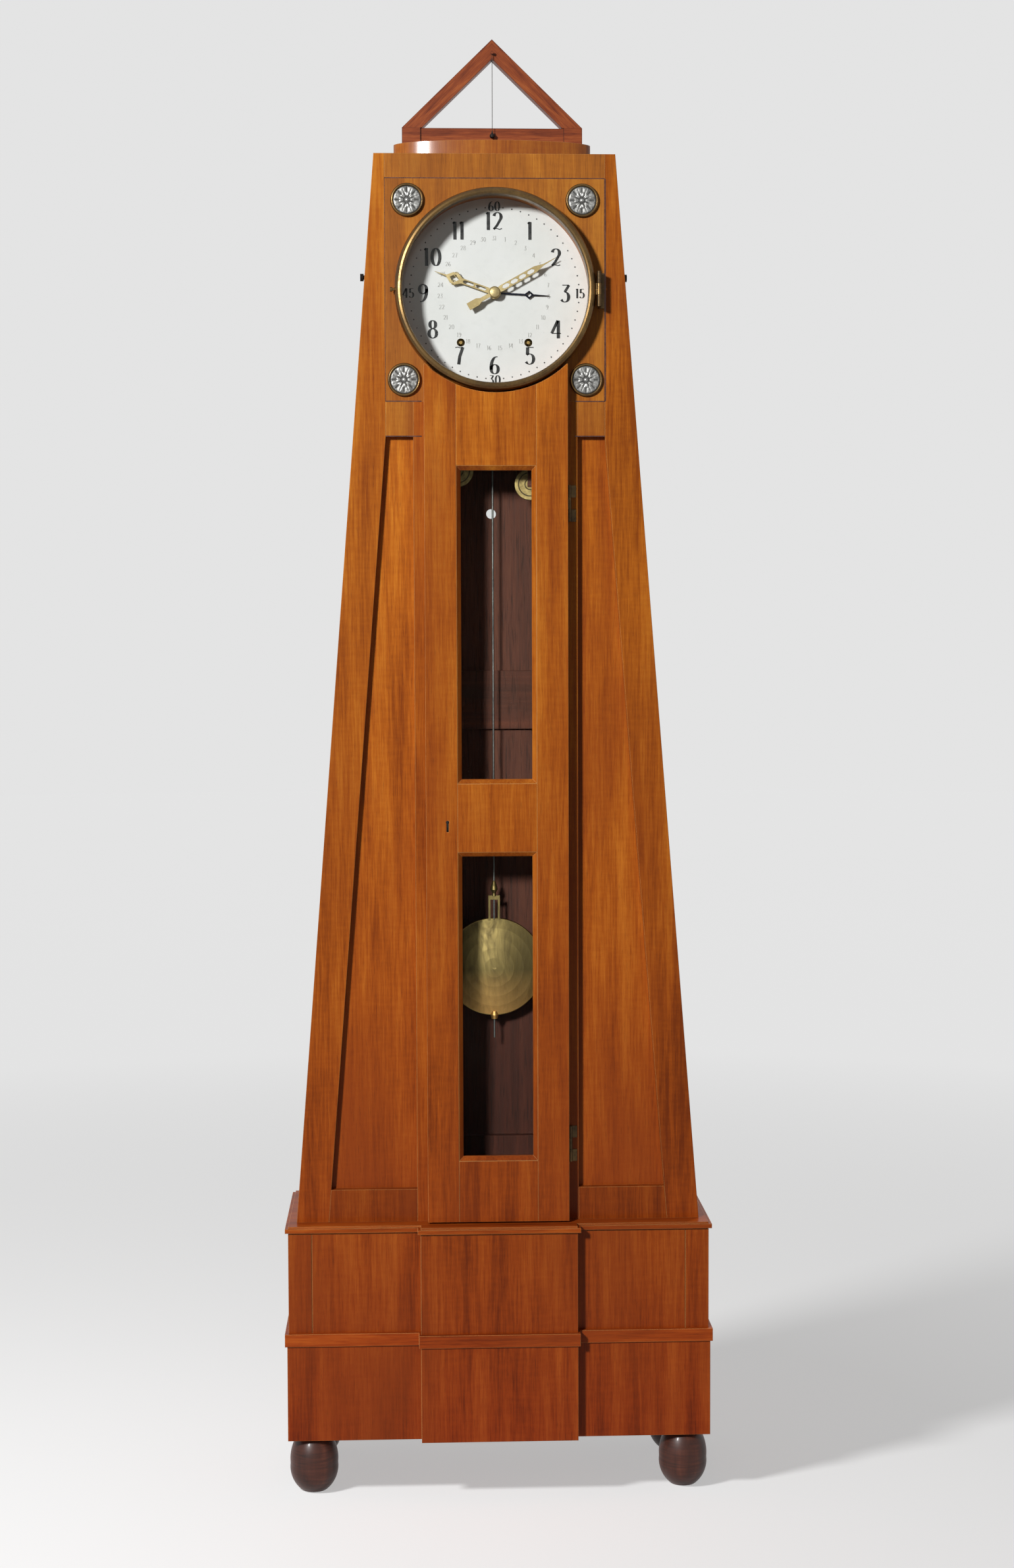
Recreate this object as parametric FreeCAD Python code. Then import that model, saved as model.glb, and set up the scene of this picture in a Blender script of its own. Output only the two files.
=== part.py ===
import FreeCAD, Part
import math
import os

os.makedirs("parts", exist_ok=True)

# Case sizes in millimetres. Depths are measured back from the front of the stiles.
case_depth = 190.0
trunk_foot = 366.0
trunk_half_top = 159.5
trunk_half_foot = 271.8
frame_thick = 22.0
side_thick = 15.0
back_thick = 12.0
top_thick = 12.0

# Dial, which sets the heights of the upper case, and the board around it
dial_height = 1610.0
board_margin = 14.0
board_below = 145.0
board_above = 147.0
board_thick = 22.0
frieze_tall = 32.0
dial_overlap = 5.0
dial_thick = 2.0
dial_foot_ring = 62.0
dial_foot_radius = 2.5
wind_x = 45.0
wind_drop = 65.0
wind_hole = 5.4

# Plinth on its feet
foot_height = 76.0
foot_radius = 32.3
foot_inset = 31.5
foot_front_depth = 6.0
foot_back_inset = 40.0
foot_tenon_radius = 9.0
foot_tenon_length = 10.0
plinth_shoulder = 10.7
plinth_front = 24.0
plinth_side_step = 2.0
plinth_front_step = 4.0
plinth_board = 20.0
floor_thick = 15.0
break_half = 105.0
break_step = 16.0
ledge_thick = 10.0
ledge_out = 4.0
band_low = 205.0
band_tall = 17.0
band_out = 3.0
corner_post = 32.0
joint_groove = 0.8

# Front frame and its fields
cross_rail_tall = 46.0
bottom_rail_tall = 44.0
field_depth = 10.0
field_thick = 8.0
jamb_beside_door = 14.0
jamb_behind_door = 11.0

# Access doors in the sides, with their knobs and hinges
access_below = 80.0
access_above = 128.0
access_front = 38.0
access_behind = 18.0
access_thick = 9.0
access_stop = 6.0
access_ease = 0.5
knob_rise = 24.0
knob_inset = 8.0
knob_radius = 5.0
knob_out = 7.0
knob_sunk = 3.0
side_hinge_inset = 34.0
side_hinge_tall = 30.0
side_knuckle = 1.9
side_pin = 0.9
side_hinge_out = 2.0
side_leaf = 0.9
side_leaf_wide = 10.0

# Back board with the wall-fixing hole, and its inner rails
rail_thick = 12.0
upper_rail_low = 1025.0
upper_rail_tall = 82.0
lower_rail_rise = 6.0
lower_rail_tall = 75.0
wall_hole_rise = 220.0
wall_hole_radius = 7.0

# Oval plinth, the mason's level on it and the plumb line
level_half = 122.0
level_thick = 16.0
level_post = 25.0
level_post_tall = 22.5
level_rise = 118.0
level_member = 19.0
level_setback = 2.0
drum_margin = 11.5
drum_half_depth = 39.0
drum_height = 29.5
hook_rise = 7.0
hook_radius = 1.0
hook_stand = 5.0
hook_sunk = 3.0
hook_bead_long = 2.0
plumb_clear = 11.0
plumb_radius = 3.6
plumb_neck_tall = 2.0
plumb_line_radius = 0.5
plumb_eye_wall = 0.8
plumb_eye_thick = 1.2

# Rosettes at the corners of the dial board
rosette_radius = 22.0
rosette_rim = 3.2
rosette_thick = 6.0
rosette_upper_inset = 30.0
rosette_lower_inset = 25.0
rosette_upper_drop = 29.0
rosette_lower_rise = 28.0
rosette_edge = 1.2
rosette_dish = 3.6
rosette_boss = 5.5
petals = 8
petal_middle = 10.0
petal_spread = 0.28

# Trunk door, its windows and its lock
door_half = 95.0
door_thick = 19.0
door_rise = 2.5
door_clear = 2.8
door_horn_flat = 1.29
door_stile_wide = 42.0
middle_rail_low = 867.0
middle_rail_tall = 91.0
lower_window_rise = 85.0
upper_window_drop = 231.0
bead_wide = 6.0
bead_depth = 10.0
pane_thick = 2.5
keyhole_inset = 13.3
keyhole_rise = 40.0
keyhole_wide = 3.0
keyhole_tall = 13.0
keyhole_eye = 2.2
lock_wide = 27.5
lock_tall = 58.0
lock_thick = 11.0
bolt_tall = 14.0
bolt_thick = 5.0
bolt_front = 3.0
bolt_length = 15.0
bolt_throw = 9.0
bolt_set_back = 0.5

# Butt hinges of the trunk door
hinge_stand = 2.8
hinge_knuckle = 2.6
hinge_pin = 1.2
hinge_tall = 48.0
hinge_leaf = 1.0
hinge_leaf_wide = 9.0
hinge_low_rise = 19.0
hinge_high_drop = 49.0
knuckle_gap = 0.2

# Bezel with its hinge at the right and its knob at the left
bezel_margin = 13.0
bezel_band = 10.0
bezel_rebate_deep = 1.7
bezel_front = -26.0
bezel_pane = -8.0
bezel_lift = 0.5
bezel_cove = 9.0
bezel_crown = 7.0
bezel_hinge_stand = 4.0
bezel_hinge_depth = -20.0
bezel_hinge_tall = 46.0
bezel_knuckle = 2.7
bezel_pin = 1.2
bezel_strap = 2.2
bezel_leaf_wide = 8.0
catch_depth = -10.0
catch_radius = 3.0
catch_stem = 1.8
catch_out = 6.0

# Movement plates, pillars, seat board and arbors
plate_thick = 2.5
front_plate = 40.0
back_plate = 100.0
plate_half = 98.0
plate_below = 102.0
plate_above = 90.0
pillar_radius = 4.0
pillar_x = 91.0
pillar_inset = 9.0
pivot_radius = 1.0
arbor_radius = 1.6
arbor_shake = 0.5
seat_thick = 16.0
seat_front = 34.0
seat_back = 106.0
seat_line_hole = 4.0

# Tooth counts and modules of the trains
great_teeth = 72
great_pinion = 12
great_reach_share = 1.12
second_teeth = 72
second_pinion = 8
second_module = 0.9
centre_teeth = 60
centre_module = 0.8
third_teeth = 64
third_pinion = 8
third_module = 0.75
escape_teeth = 30
escape_radius = 17.0
escape_tooth_deep = 3.4
escape_thick = 1.5
cannon_teeth = 12
minute_teeth = 36
motion_module = 0.8
minute_pinion = 10
hour_teeth = 40
pin_teeth = 60
pin_module = 0.8
fly_pinion = 8
wheel_thick = 2.0
wheel_rim_deep = 4.5
wheel_hub = 7.0
wheel_arms = 4

# Depths of the wheels behind the stile front
great_front = 48.0
second_front = 60.0
pin_front = 65.5
centre_front = 70.0
third_front = 80.0
escape_front = 89.5
pinion_ahead = 3.0
pinion_behind = 5.0

# Barrels with their winding squares
drum_radius = 14.0
drum_flange = 17.5
drum_front = 54.0
drum_back = 94.0
flange_thick = 2.0
winder_radius = 2.8
winder_square = 2.2
winder_front = 22.4
collet_radius = 6.0
collet_thick = 2.7
wheel_shake = 0.3

# Escapement and pendulum
pallet_rise = 79.0
pallet_reach = 26.0
pallet_gap = 1.3
pallet_wide = 4.5
anchor_thick = 3.5
anchor_hub = 4.0
crutch_front = 106.0
crutch_thick = 2.5
crutch_wide = 3.0
crutch_reach = 120.0
prong_clear = 0.2
prong_thick = 2.0
prong_tall = 4.0
pendulum_depth = 122.0
rod_radius = 1.4
rod_drop = 46.0
spring_half = 0.4
spring_wide = 12.0
spring_block = 8.0
spring_rise = 7.0
bob_height = 694.8
bob_radius = 68.0
bob_thick = 26.0
bob_rim = 2.0
stirrup_rise = 31.7
stirrup_half = 8.0
stirrup_leg = 3.0
stirrup_thick = 4.0
stirrup_bridge = 6.0
stirrup_hold = 8.0
finial_tall = 20.5
finial_radius = 5.2
nut_radius = 5.5
nut_tall = 11.0
rod_tail = 31.8
cock_half = 12.0
cock_wall = 3.0
cock_slot = 1.2
cock_back = 131.0
cock_below = 8.0
cock_above = 16.0

# Motion work and hands
cannon_front = 32.0
cannon_pipe = 2.4
minute_front = 33.0
minute_stud = 1.5
hour_front = 28.0
hour_pipe = 4.0
date_front = 25.0
date_pipe = 5.2
date_wheel_radius = 12.0
date_wheel_thick = 1.4
hand_thick = 1.4
minute_depth = 11.0
hour_depth = 15.2
date_depth = 18.6
minute_angle = 60.8
hour_angle = 289.3
date_angle = 92.8
minute_tip = 93.6
minute_half = 4.2
minute_shoulder = 62.0
minute_tail = 40.0
minute_tail_half = 5.0
minute_tail_long = 14.0
minute_links = 4
hour_tip = 84.0
hour_half = 3.6
hour_ring_low = 46.0
hour_ring_tall = 21.0
hour_ring_half = 7.5
date_tip = 73.0
date_ring = 46.0
date_ring_half = 5.5
date_half = 1.0
hand_root = 2.6
hand_point = 1.0

# Strike train, hammer and bell
pins = 8
pin_ring = 19.0
pin_length = 5.0
pin_radius = 1.2
fly_front = 76.0
fly_back = 96.0
fly_half = 16.0
fly_thick = 0.8
hammer_out = 15.0
hammer_rise = 60.0
hammer_front = 62.0
hammer_thick = 2.0
hammer_half = 3.0
hammer_gap = 2.5
hammer_above_mouth = 5.0
hammer_head_radius = 5.0
hammer_head_long = 15.0
hammer_tail_clear = 31.0
bell_depth = 74.0
bell_radius = 38.0
bell_wall = 2.0
bell_rise = 12.0
bell_tall = 26.0
bell_bolt = 2.5
bell_strap_half = 5.0
bell_strap_thick = 3.0
bell_strap_grip = 7.0
bell_strap_rise = 7.0

# Pulleys, lines and weights
line_depth = 66.0
cord_radius = 0.8
pulley_groove = 18.0
pulley_lip = 3.0
pulley_half = 4.0
pulley_floor_half = 1.0
pulley_edge = 0.8
axle_radius = 2.0
axle_head = 2.0
left_pulley_drop = 114.0
right_pulley_drop = 132.0
outer_pulley_drop = 52.0
strap_half = 3.5
strap_thick = 2.0
strap_clear = 1.0
weight_radius = 26.0
weight_drop = 68.0
weight_length = 190.0
weight_edge = 2.0
weight_hook_radius = 2.5
weight_hook_long = 16.0

# Running clearance of a shaft in its hole, a close joint, a plain gap and the overrun of a cut
run_gap = 0.05
fit_gap = 0.05
part_gap = 1.0
over = 1.0

# Heights and places that follow from the sizes
front_overhang = plinth_front + plinth_front_step + break_step + band_out
front_y = (front_overhang - case_depth) / 2
board_low = dial_height - board_below
board_high = dial_height + board_above
trunk_top = board_high + frieze_tall
trunk_slope = (trunk_half_foot - trunk_half_top) / (trunk_top - trunk_foot)
board_half = trunk_half_top - board_margin
back_depth = case_depth - back_thick
bezel_radius = board_half - bezel_margin
bezel_inner = bezel_radius - bezel_band
bezel_rebate = bezel_inner + bezel_rebate_deep
dial_hole = bezel_inner + 1.5 * bezel_rebate_deep
dial_radius = dial_hole + dial_overlap
jamb_inner = door_half - jamb_behind_door
field_inner = door_half + jamb_beside_door
field_low = trunk_foot + bottom_rail_tall
field_top = board_low - cross_rail_tall
plate_low = dial_height - plate_below
plate_high = dial_height + plate_above
barrel_z = dial_height - wind_drop
pallet_z = dial_height + pallet_rise
escape_z = pallet_z - pallet_reach


def point(x, depth, z):
    return FreeCAD.Vector(x, front_y + depth, z)


def box(x0, x1, d0, d1, z0, z1):
    return Part.makeBox(x1 - x0, d1 - d0, z1 - z0, point(x0, d0, z0))


def slab(half, d0, d1, z0, z1):
    return box(-half, half, d0, d1, z0, z1)


def prism_back(outline, d0, d1):
    corners = [point(x, d0, z) for x, z in outline]
    face = Part.Face(Part.makePolygon(corners + corners[:1]))
    return face.extrude(FreeCAD.Vector(0, d1 - d0, 0))


def prism_up(outline, z0, z1):
    corners = [point(x, d, z0) for x, d in outline]
    face = Part.Face(Part.makePolygon(corners + corners[:1]))
    return face.extrude(FreeCAD.Vector(0, 0, z1 - z0))


def rod_back(x, z, radius, d0, d1):
    return Part.makeCylinder(radius, d1 - d0, point(x, d0, z), FreeCAD.Vector(0, 1, 0))


def rod_up(x, depth, radius, z0, z1):
    return Part.makeCylinder(radius, z1 - z0, point(x, depth, z0), FreeCAD.Vector(0, 0, 1))


def rod_across(depth, z, radius, x0, x1):
    return Part.makeCylinder(radius, x1 - x0, point(x0, depth, z), FreeCAD.Vector(1, 0, 0))


def turned_back(x, z, profile):
    corners = [point(x + radius, depth, z) for radius, depth in profile]
    face = Part.Face(Part.makePolygon(corners + corners[:1]))
    return face.revolve(point(x, 0, z), FreeCAD.Vector(0, 1, 0), 360)


def turned_up(x, depth, profile):
    corners = [point(x + radius, depth, z) for radius, z in profile]
    face = Part.Face(Part.makePolygon(corners + corners[:1]))
    return face.revolve(point(x, depth, 0), FreeCAD.Vector(0, 0, 1), 360)


def polar(x, z, radius, angle):
    return x + radius * math.cos(angle), z + radius * math.sin(angle)


def both_sides(right_half):
    return right_half + [(-x, z) for x, z in right_half[::-1]]


def mirrored(shape):
    return shape.mirror(FreeCAD.Vector(0, 0, 0), FreeCAD.Vector(1, 0, 0))


def joined(shapes):
    whole = shapes[0]
    for shape in shapes[1:]:
        whole = whole.fuse(shape)
    return whole.removeSplitter()


def save(name, shapes):
    if not isinstance(shapes, (list, tuple)):
        shapes = [shapes]
    solids = [solid for shape in shapes for solid in shape.Solids]
    whole = solids[0] if len(solids) == 1 else Part.makeCompound(solids)
    whole.exportStep("parts/" + name + ".step")


def trunk_half(z):
    return trunk_half_top + (trunk_top - z) * trunk_slope


# Ball feet with tenons into the floor of the plinth
plinth_half = trunk_half_foot + plinth_shoulder
foot_x = plinth_half - foot_inset
foot_back_depth = case_depth - foot_back_inset
foot_middle = foot_height * 0.47
foot_base = foot_radius * 0.55
foot_neck = foot_radius * 0.66
foot_swell = foot_radius * 0.905


def ball_foot(x, depth):
    low = point(x + foot_base, depth, 0)
    low_arc = point(x + foot_swell, depth, foot_middle * 0.42)
    belly = point(x + foot_radius, depth, foot_middle)
    high_arc = point(x + foot_swell, depth, foot_middle + (foot_height - foot_middle) * 0.62)
    neck = point(x + foot_neck, depth, foot_height)
    edges = [
        Part.makeLine(point(x, depth, 0), low),
        Part.Arc(low, low_arc, belly).toShape(),
        Part.Arc(belly, high_arc, neck).toShape(),
        Part.makeLine(neck, point(x, depth, foot_height)),
        Part.makeLine(point(x, depth, foot_height), point(x, depth, 0)),
    ]
    face = Part.Face(Part.Wire(edges))
    ball = face.revolve(point(x, depth, 0), FreeCAD.Vector(0, 0, 1), 360)
    tenon = rod_up(x, depth, foot_tenon_radius, foot_height - over, foot_height + foot_tenon_length)
    return ball.fuse(tenon).removeSplitter()


foot_places = []
for side in (-1, 1):
    foot_places.append((side * foot_x, foot_front_depth))
    foot_places.append((side * foot_x, foot_back_depth))
save("ball_feet", [ball_foot(x, depth) for x, depth in foot_places])

# Plinth: a breakfront front, sides, back and floor
lower_half = plinth_half + plinth_side_step
lower_front = plinth_front + plinth_front_step
ledge_low = trunk_foot - ledge_thick
band_high = band_low + band_tall
band_middle = band_low + band_tall / 2
plinth_back_face = plinth_board - plinth_front


def breakfront(half, front, back, grow):
    middle = break_half + grow
    right_half = [(middle, -front - break_step), (middle, -front), (half, -front), (half, back)]
    return both_sides(right_half)


upper_plinth = prism_up(breakfront(plinth_half, plinth_front, plinth_back_face, 0), band_middle, ledge_low)
lower_plinth = prism_up(breakfront(lower_half, lower_front, plinth_back_face, 0), foot_height, band_middle)
front_block = upper_plinth.fuse(lower_plinth).removeSplitter()
corner_x = plinth_half - corner_post
groove = box(corner_x, corner_x + joint_groove, -plinth_front - over, joint_groove - plinth_front,
             band_high, ledge_low)
save("plinth_front", front_block.cut(groove).cut(mirrored(groove)))

inner_face = plinth_half - plinth_board
side_back = back_depth - fit_gap
plinth_side = joined([
    box(inner_face, plinth_half, plinth_back_face, side_back, band_middle, ledge_low),
    box(inner_face, lower_half, plinth_back_face, side_back, foot_height, band_middle),
])
plinth_rear = joined([
    slab(plinth_half, back_depth, case_depth, band_middle, ledge_low),
    slab(lower_half, back_depth, case_depth, foot_height, band_middle),
])
floor_half = inner_face - fit_gap
plinth_floor = slab(floor_half, plinth_back_face, side_back, foot_height, foot_height + floor_thick)
for x, depth in foot_places:
    socket_top = foot_height + foot_tenon_length
    socket = rod_up(x, depth, foot_tenon_radius + run_gap, foot_height - over, socket_top)
    plinth_floor = plinth_floor.cut(socket)
save("plinth_carcass", [plinth_side, mirrored(plinth_side), plinth_rear, plinth_floor])

# Ledge and band mouldings around the front and sides
ledge_round = ledge_thick * 0.42
ledge_flat = ledge_out - ledge_round
ledge_slab = prism_up(
    breakfront(plinth_half + ledge_flat, plinth_front + ledge_flat, case_depth, ledge_flat),
    ledge_low,
    trunk_foot,
)
ledge_nose = prism_up(
    breakfront(plinth_half + ledge_out, plinth_front + ledge_out, case_depth, ledge_out),
    ledge_low + ledge_round / 2,
    trunk_foot - ledge_round / 2,
)
hollow_half = trunk_half_foot - side_thick
ledge_hollow = slab(hollow_half, frame_thick, back_depth, ledge_low - over, trunk_foot + over)
save("ledge_moulding", ledge_slab.fuse(ledge_nose).removeSplitter().cut(ledge_hollow))

band_back = case_depth + over
band_outline = breakfront(lower_half + band_out, lower_front + band_out, case_depth, band_out)
band_outer = prism_up(band_outline, band_low, band_high)
band_upper_core = prism_up(breakfront(plinth_half, plinth_front, band_back, 0), band_middle, band_high)
band_lower_core = prism_up(breakfront(lower_half, lower_front, band_back, 0), band_low, band_middle)
save("band_moulding", band_outer.cut(band_upper_core.fuse(band_lower_core)).removeSplitter())

# Trunk sides with openings for the access doors
access_low = dial_height - access_below
access_high = dial_height + access_above
access_back = back_depth - access_behind
seat_z0 = access_low - access_stop
seat_z1 = access_high + access_stop


def side_outline(z0, z1, inset, thick):
    return [
        (trunk_half(z0) - inset - thick, z0),
        (trunk_half(z0) - inset, z0),
        (trunk_half(z1) - inset, z1),
        (trunk_half(z1) - inset - thick, z1),
    ]


def rod_along_side(depth, z0, z1, radius):
    low = point(trunk_half(z0) + side_hinge_out, depth, z0)
    high = point(trunk_half(z1) + side_hinge_out, depth, z1)
    return Part.makeCylinder(radius, (high - low).Length, low, high - low)


trunk_side = prism_back(side_outline(trunk_foot, trunk_top, 0, side_thick), frame_thick, back_depth)
access_hole = prism_back(
    side_outline(access_low, access_high, -over, side_thick + 2 * over),
    access_front + access_stop,
    access_back - access_stop,
)
seat_outline = side_outline(seat_z0, seat_z1, -over, access_thick + over)
access_seat = prism_back(seat_outline, access_front, access_back)
trunk_side = trunk_side.cut(access_hole).cut(access_seat)
save("trunk_sides", [trunk_side, mirrored(trunk_side)])

# Access doors with their knobs, hung on small surface hinges at the back edge
side_hinge_depth = access_back - part_gap / 2
knob_z = dial_height + knob_rise
knob_x = trunk_half(knob_z)
knob_depth = access_front + knob_inset
access_leaf = joined([
    prism_back(
        side_outline(seat_z0 + part_gap, seat_z1 - part_gap, 0, access_thick - access_ease),
        access_front + part_gap,
        access_back - part_gap,
    ),
    rod_across(knob_depth, knob_z, knob_radius * 0.6, knob_x - knob_sunk, knob_x + knob_out * 0.4),
    rod_across(knob_depth, knob_z, knob_radius, knob_x + knob_out * 0.35, knob_x + knob_out),
])
side_hinge_fixed = []
for low in (seat_z0 + side_hinge_inset, seat_z1 - side_hinge_inset - side_hinge_tall):
    third = side_hinge_tall / 3
    z0 = low + third + knuckle_gap
    z1 = low + 2 * third - knuckle_gap
    flap_front = side_hinge_depth - side_leaf_wide
    flap_back = side_hinge_depth - part_gap / 2
    flap = prism_back(side_outline(z0, z1, -side_leaf, side_leaf), flap_front, flap_back)
    knuckle = rod_along_side(side_hinge_depth, z0, z1, side_knuckle)
    pin_hole = rod_along_side(side_hinge_depth, low, low + side_hinge_tall, side_pin + run_gap)
    access_leaf = joined([access_leaf, flap, knuckle]).cut(pin_hole)
    fixed = [rod_along_side(side_hinge_depth, low, low + side_hinge_tall, side_pin)]
    for end in (low, low + 2 * third):
        fixed.append(rod_along_side(side_hinge_depth, end, end + third, side_knuckle))
        fixed.append(prism_back(
            side_outline(end, end + third, -side_leaf, side_leaf),
            side_hinge_depth + part_gap / 2,
            side_hinge_depth + side_leaf_wide,
        ))
    side_hinge_fixed.append(joined(fixed))
save("side_door_right", access_leaf)
save("side_door_left", mirrored(access_leaf))

# Back board and its inner rails
upper_rail_high = upper_rail_low + upper_rail_tall
lower_rail_low = trunk_foot + lower_rail_rise
wall_hole_height = upper_rail_high + wall_hole_rise
back_outline = both_sides([(trunk_half_foot, trunk_foot), (trunk_half_top, trunk_top)])
back_board = prism_back(back_outline, back_depth, case_depth)
wall_hole = rod_back(0, wall_hole_height, wall_hole_radius, back_depth - over, case_depth + over)


def inner_rail(z0, tall):
    z1 = z0 + tall
    outline = both_sides([(trunk_half(z0) - side_thick, z0), (trunk_half(z1) - side_thick, z1)])
    return prism_back(outline, back_depth - rail_thick, back_depth - fit_gap)


upper_rail = inner_rail(upper_rail_low, upper_rail_tall)
lower_rail = inner_rail(lower_rail_low, lower_rail_tall)
save("back_board", [back_board.cut(wall_hole), upper_rail, lower_rail])


# Front frame, fields, dial board and top
def field_outer(z):
    return board_half + (field_top - z) * trunk_slope


stile = prism_back(
    [
        (trunk_half_foot, trunk_foot),
        (trunk_half_top, trunk_top),
        (board_half, trunk_top),
        (board_half, field_top),
        (field_outer(trunk_foot), trunk_foot),
    ],
    0,
    frame_thick,
)
save("front_stiles", [stile, mirrored(stile)])

frieze = slab(board_half, 0, frame_thick, board_high, trunk_top)
cross_rail = box(field_inner, board_half, 0, frame_thick, field_top, board_low)
bottom_rail = prism_back(
    [
        (field_inner, trunk_foot),
        (field_outer(trunk_foot), trunk_foot),
        (field_outer(field_low), field_low),
        (field_inner, field_low),
    ],
    0,
    frame_thick,
)
save("front_rails", [frieze, cross_rail, mirrored(cross_rail), bottom_rail, mirrored(bottom_rail)])

field = prism_back(
    [
        (field_inner, field_low),
        (field_outer(field_low), field_low),
        (board_half, field_top),
        (field_inner, field_top),
    ],
    field_depth,
    field_depth + field_thick,
)
save("field_panels", [field, mirrored(field)])

dial_board = slab(board_half, 0, board_thick, board_low, board_high)
save("dial_board", dial_board.cut(rod_back(0, dial_height, dial_hole, -over, board_thick + over)))

top_low = trunk_top - top_thick
top_outline = both_sides([
    (trunk_half(top_low) - side_thick, top_low),
    (trunk_half_top - side_thick, trunk_top),
])
save("top_board", prism_back(top_outline, frame_thick, back_depth))

# Oval plinth and the mason's level on it
level_depth = case_depth / 2 - level_setback
drum_top = trunk_top + drum_height
oval = Part.Ellipse(point(0, level_depth, trunk_top), level_half + drum_margin, drum_half_depth)
save("oval_plinth", Part.Face(Part.Wire([oval.toShape()])).extrude(FreeCAD.Vector(0, 0, drum_height)))

level_front = level_depth - level_thick / 2
level_back = level_depth + level_thick / 2
level_eaves = drum_top + level_post_tall
level_peak = level_eaves + level_rise
pitch = math.atan2(level_rise, level_half)
member_drop = level_member / math.cos(pitch)
member_across = level_member / math.sin(pitch)
hook_z = level_peak - member_drop + hook_rise
level_slope = level_rise / level_half
butt_x = member_drop / (2 * level_slope)
left_outline = [
    (-level_half, level_eaves),
    (0, level_peak),
    (butt_x, level_peak - butt_x * level_slope),
    (member_across - level_half, level_eaves),
]
right_outline = [
    (level_half, level_eaves),
    (butt_x + fit_gap, level_peak - (butt_x + fit_gap) * level_slope),
    (fit_gap, level_peak - member_drop - fit_gap * level_slope),
    (level_half - member_across, level_eaves),
]
hook_bore = rod_back(0, hook_z, hook_radius + fit_gap, level_front - over, level_front + hook_sunk + fit_gap)
rafter_left = prism_back(left_outline, level_front, level_back).cut(hook_bore)
rafter_right = prism_back(right_outline, level_front, level_back).cut(hook_bore)
post = box(level_half - level_post, level_half, level_front, level_back, drum_top, level_eaves - fit_gap)
crossbar_half = level_half - level_post - fit_gap
crossbar_front = level_front + level_setback
crossbar_back = level_back - level_setback
crossbar = slab(crossbar_half, crossbar_front, crossbar_back, drum_top, level_eaves - fit_gap)
plumb_depth = level_front - hook_stand
bead_front = plumb_depth - hook_bead_long / 2 - over
hook = rod_back(0, hook_z, hook_radius, bead_front + over / 2, level_front + hook_sunk)
hook_bead = rod_back(0, hook_z, hook_radius * 2, bead_front, bead_front + hook_bead_long)
hook = hook.fuse(hook_bead).removeSplitter()
save("level_frame", [rafter_left, rafter_right, post, mirrored(post), crossbar, hook])

# Plumb line and bob
plumb_height = drum_top + plumb_clear
line_y = plumb_depth + plumb_eye_thick
eye_inner = hook_radius + run_gap
eye_outer = eye_inner + plumb_eye_wall
plumb_eye = rod_back(0, hook_z, eye_outer, line_y - plumb_eye_thick / 2, line_y + plumb_eye_thick / 2)
plumb_eye = plumb_eye.cut(rod_back(0, hook_z, eye_inner, plumb_depth, plumb_depth + hook_stand))
plumb_top = plumb_height + plumb_radius
cord_top = hook_z - eye_inner - plumb_eye_wall / 2
plumb_cord = rod_up(0, line_y, plumb_line_radius, plumb_top, cord_top)
save("plumb_line", plumb_eye.fuse(plumb_cord).removeSplitter())
plumb_profile = [(0, plumb_height - plumb_radius)]
for degrees in (-60, -30, 0, 30, 60):
    plumb_profile.append(polar(0, plumb_height, plumb_radius, math.radians(degrees)))
plumb_neck = plumb_line_radius * 2.4
neck_top = plumb_top + plumb_neck_tall
plumb_profile += [(plumb_neck, plumb_top), (plumb_neck, neck_top), (0, neck_top)]
plumb_bore = rod_up(0, line_y, plumb_line_radius + fit_gap, plumb_top - fit_gap, neck_top + over)
save("plumb_bob", turned_up(0, line_y, plumb_profile).cut(plumb_bore))


# Rosettes with petals in a rim
def rosette(x, z):
    face = -rosette_thick
    dish = face + rosette_dish
    inside = rosette_radius - rosette_rim
    disc = turned_back(x, z, [
        (0, 0),
        (rosette_radius, 0),
        (rosette_radius, face + 2 * rosette_edge),
        (rosette_radius - rosette_edge, face + rosette_edge / 2),
        (inside, face + rosette_edge),
        (inside - rosette_edge / 2, dish),
        (rosette_boss, dish),
        (rosette_boss - rosette_edge, face + rosette_edge),
        (0, face),
    ])
    reach = inside - rosette_edge
    shoulder = reach - 2 * rosette_edge
    for step in range(petals):
        turn = 2 * math.pi * step / petals
        petal = [
            polar(x, z, rosette_boss - rosette_edge, turn),
            polar(x, z, petal_middle, turn + petal_spread),
            polar(x, z, shoulder, turn + petal_spread),
            polar(x, z, reach, turn),
            polar(x, z, shoulder, turn - petal_spread),
            polar(x, z, petal_middle, turn - petal_spread),
        ]
        disc = disc.fuse(prism_back(petal, dish - 1.5 * rosette_edge, dish + rosette_edge / 2))
    return disc.removeSplitter()


rosettes = []
for side in (-1, 1):
    rosettes.append(rosette(side * (board_half - rosette_upper_inset), board_high - rosette_upper_drop))
    rosettes.append(rosette(side * (board_half - rosette_lower_inset), board_low + rosette_lower_rise))
save("rosettes", rosettes)

# Trunk door: two stiles, three rails, beads and panes
door_low = trunk_foot + door_rise
bezel_space_radius = bezel_radius + door_clear
door_horn = dial_height - math.sqrt(bezel_space_radius**2 - door_half**2) - door_horn_flat
window_half = door_half - door_stile_wide
lower_window_low = trunk_foot + lower_window_rise
upper_window_low = middle_rail_low + middle_rail_tall
upper_window_high = dial_height - upper_window_drop
windows = ((lower_window_low, middle_rail_low), (upper_window_low, upper_window_high))
bezel_space = rod_back(0, dial_height, bezel_space_radius, -door_thick - over, over)

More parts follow.
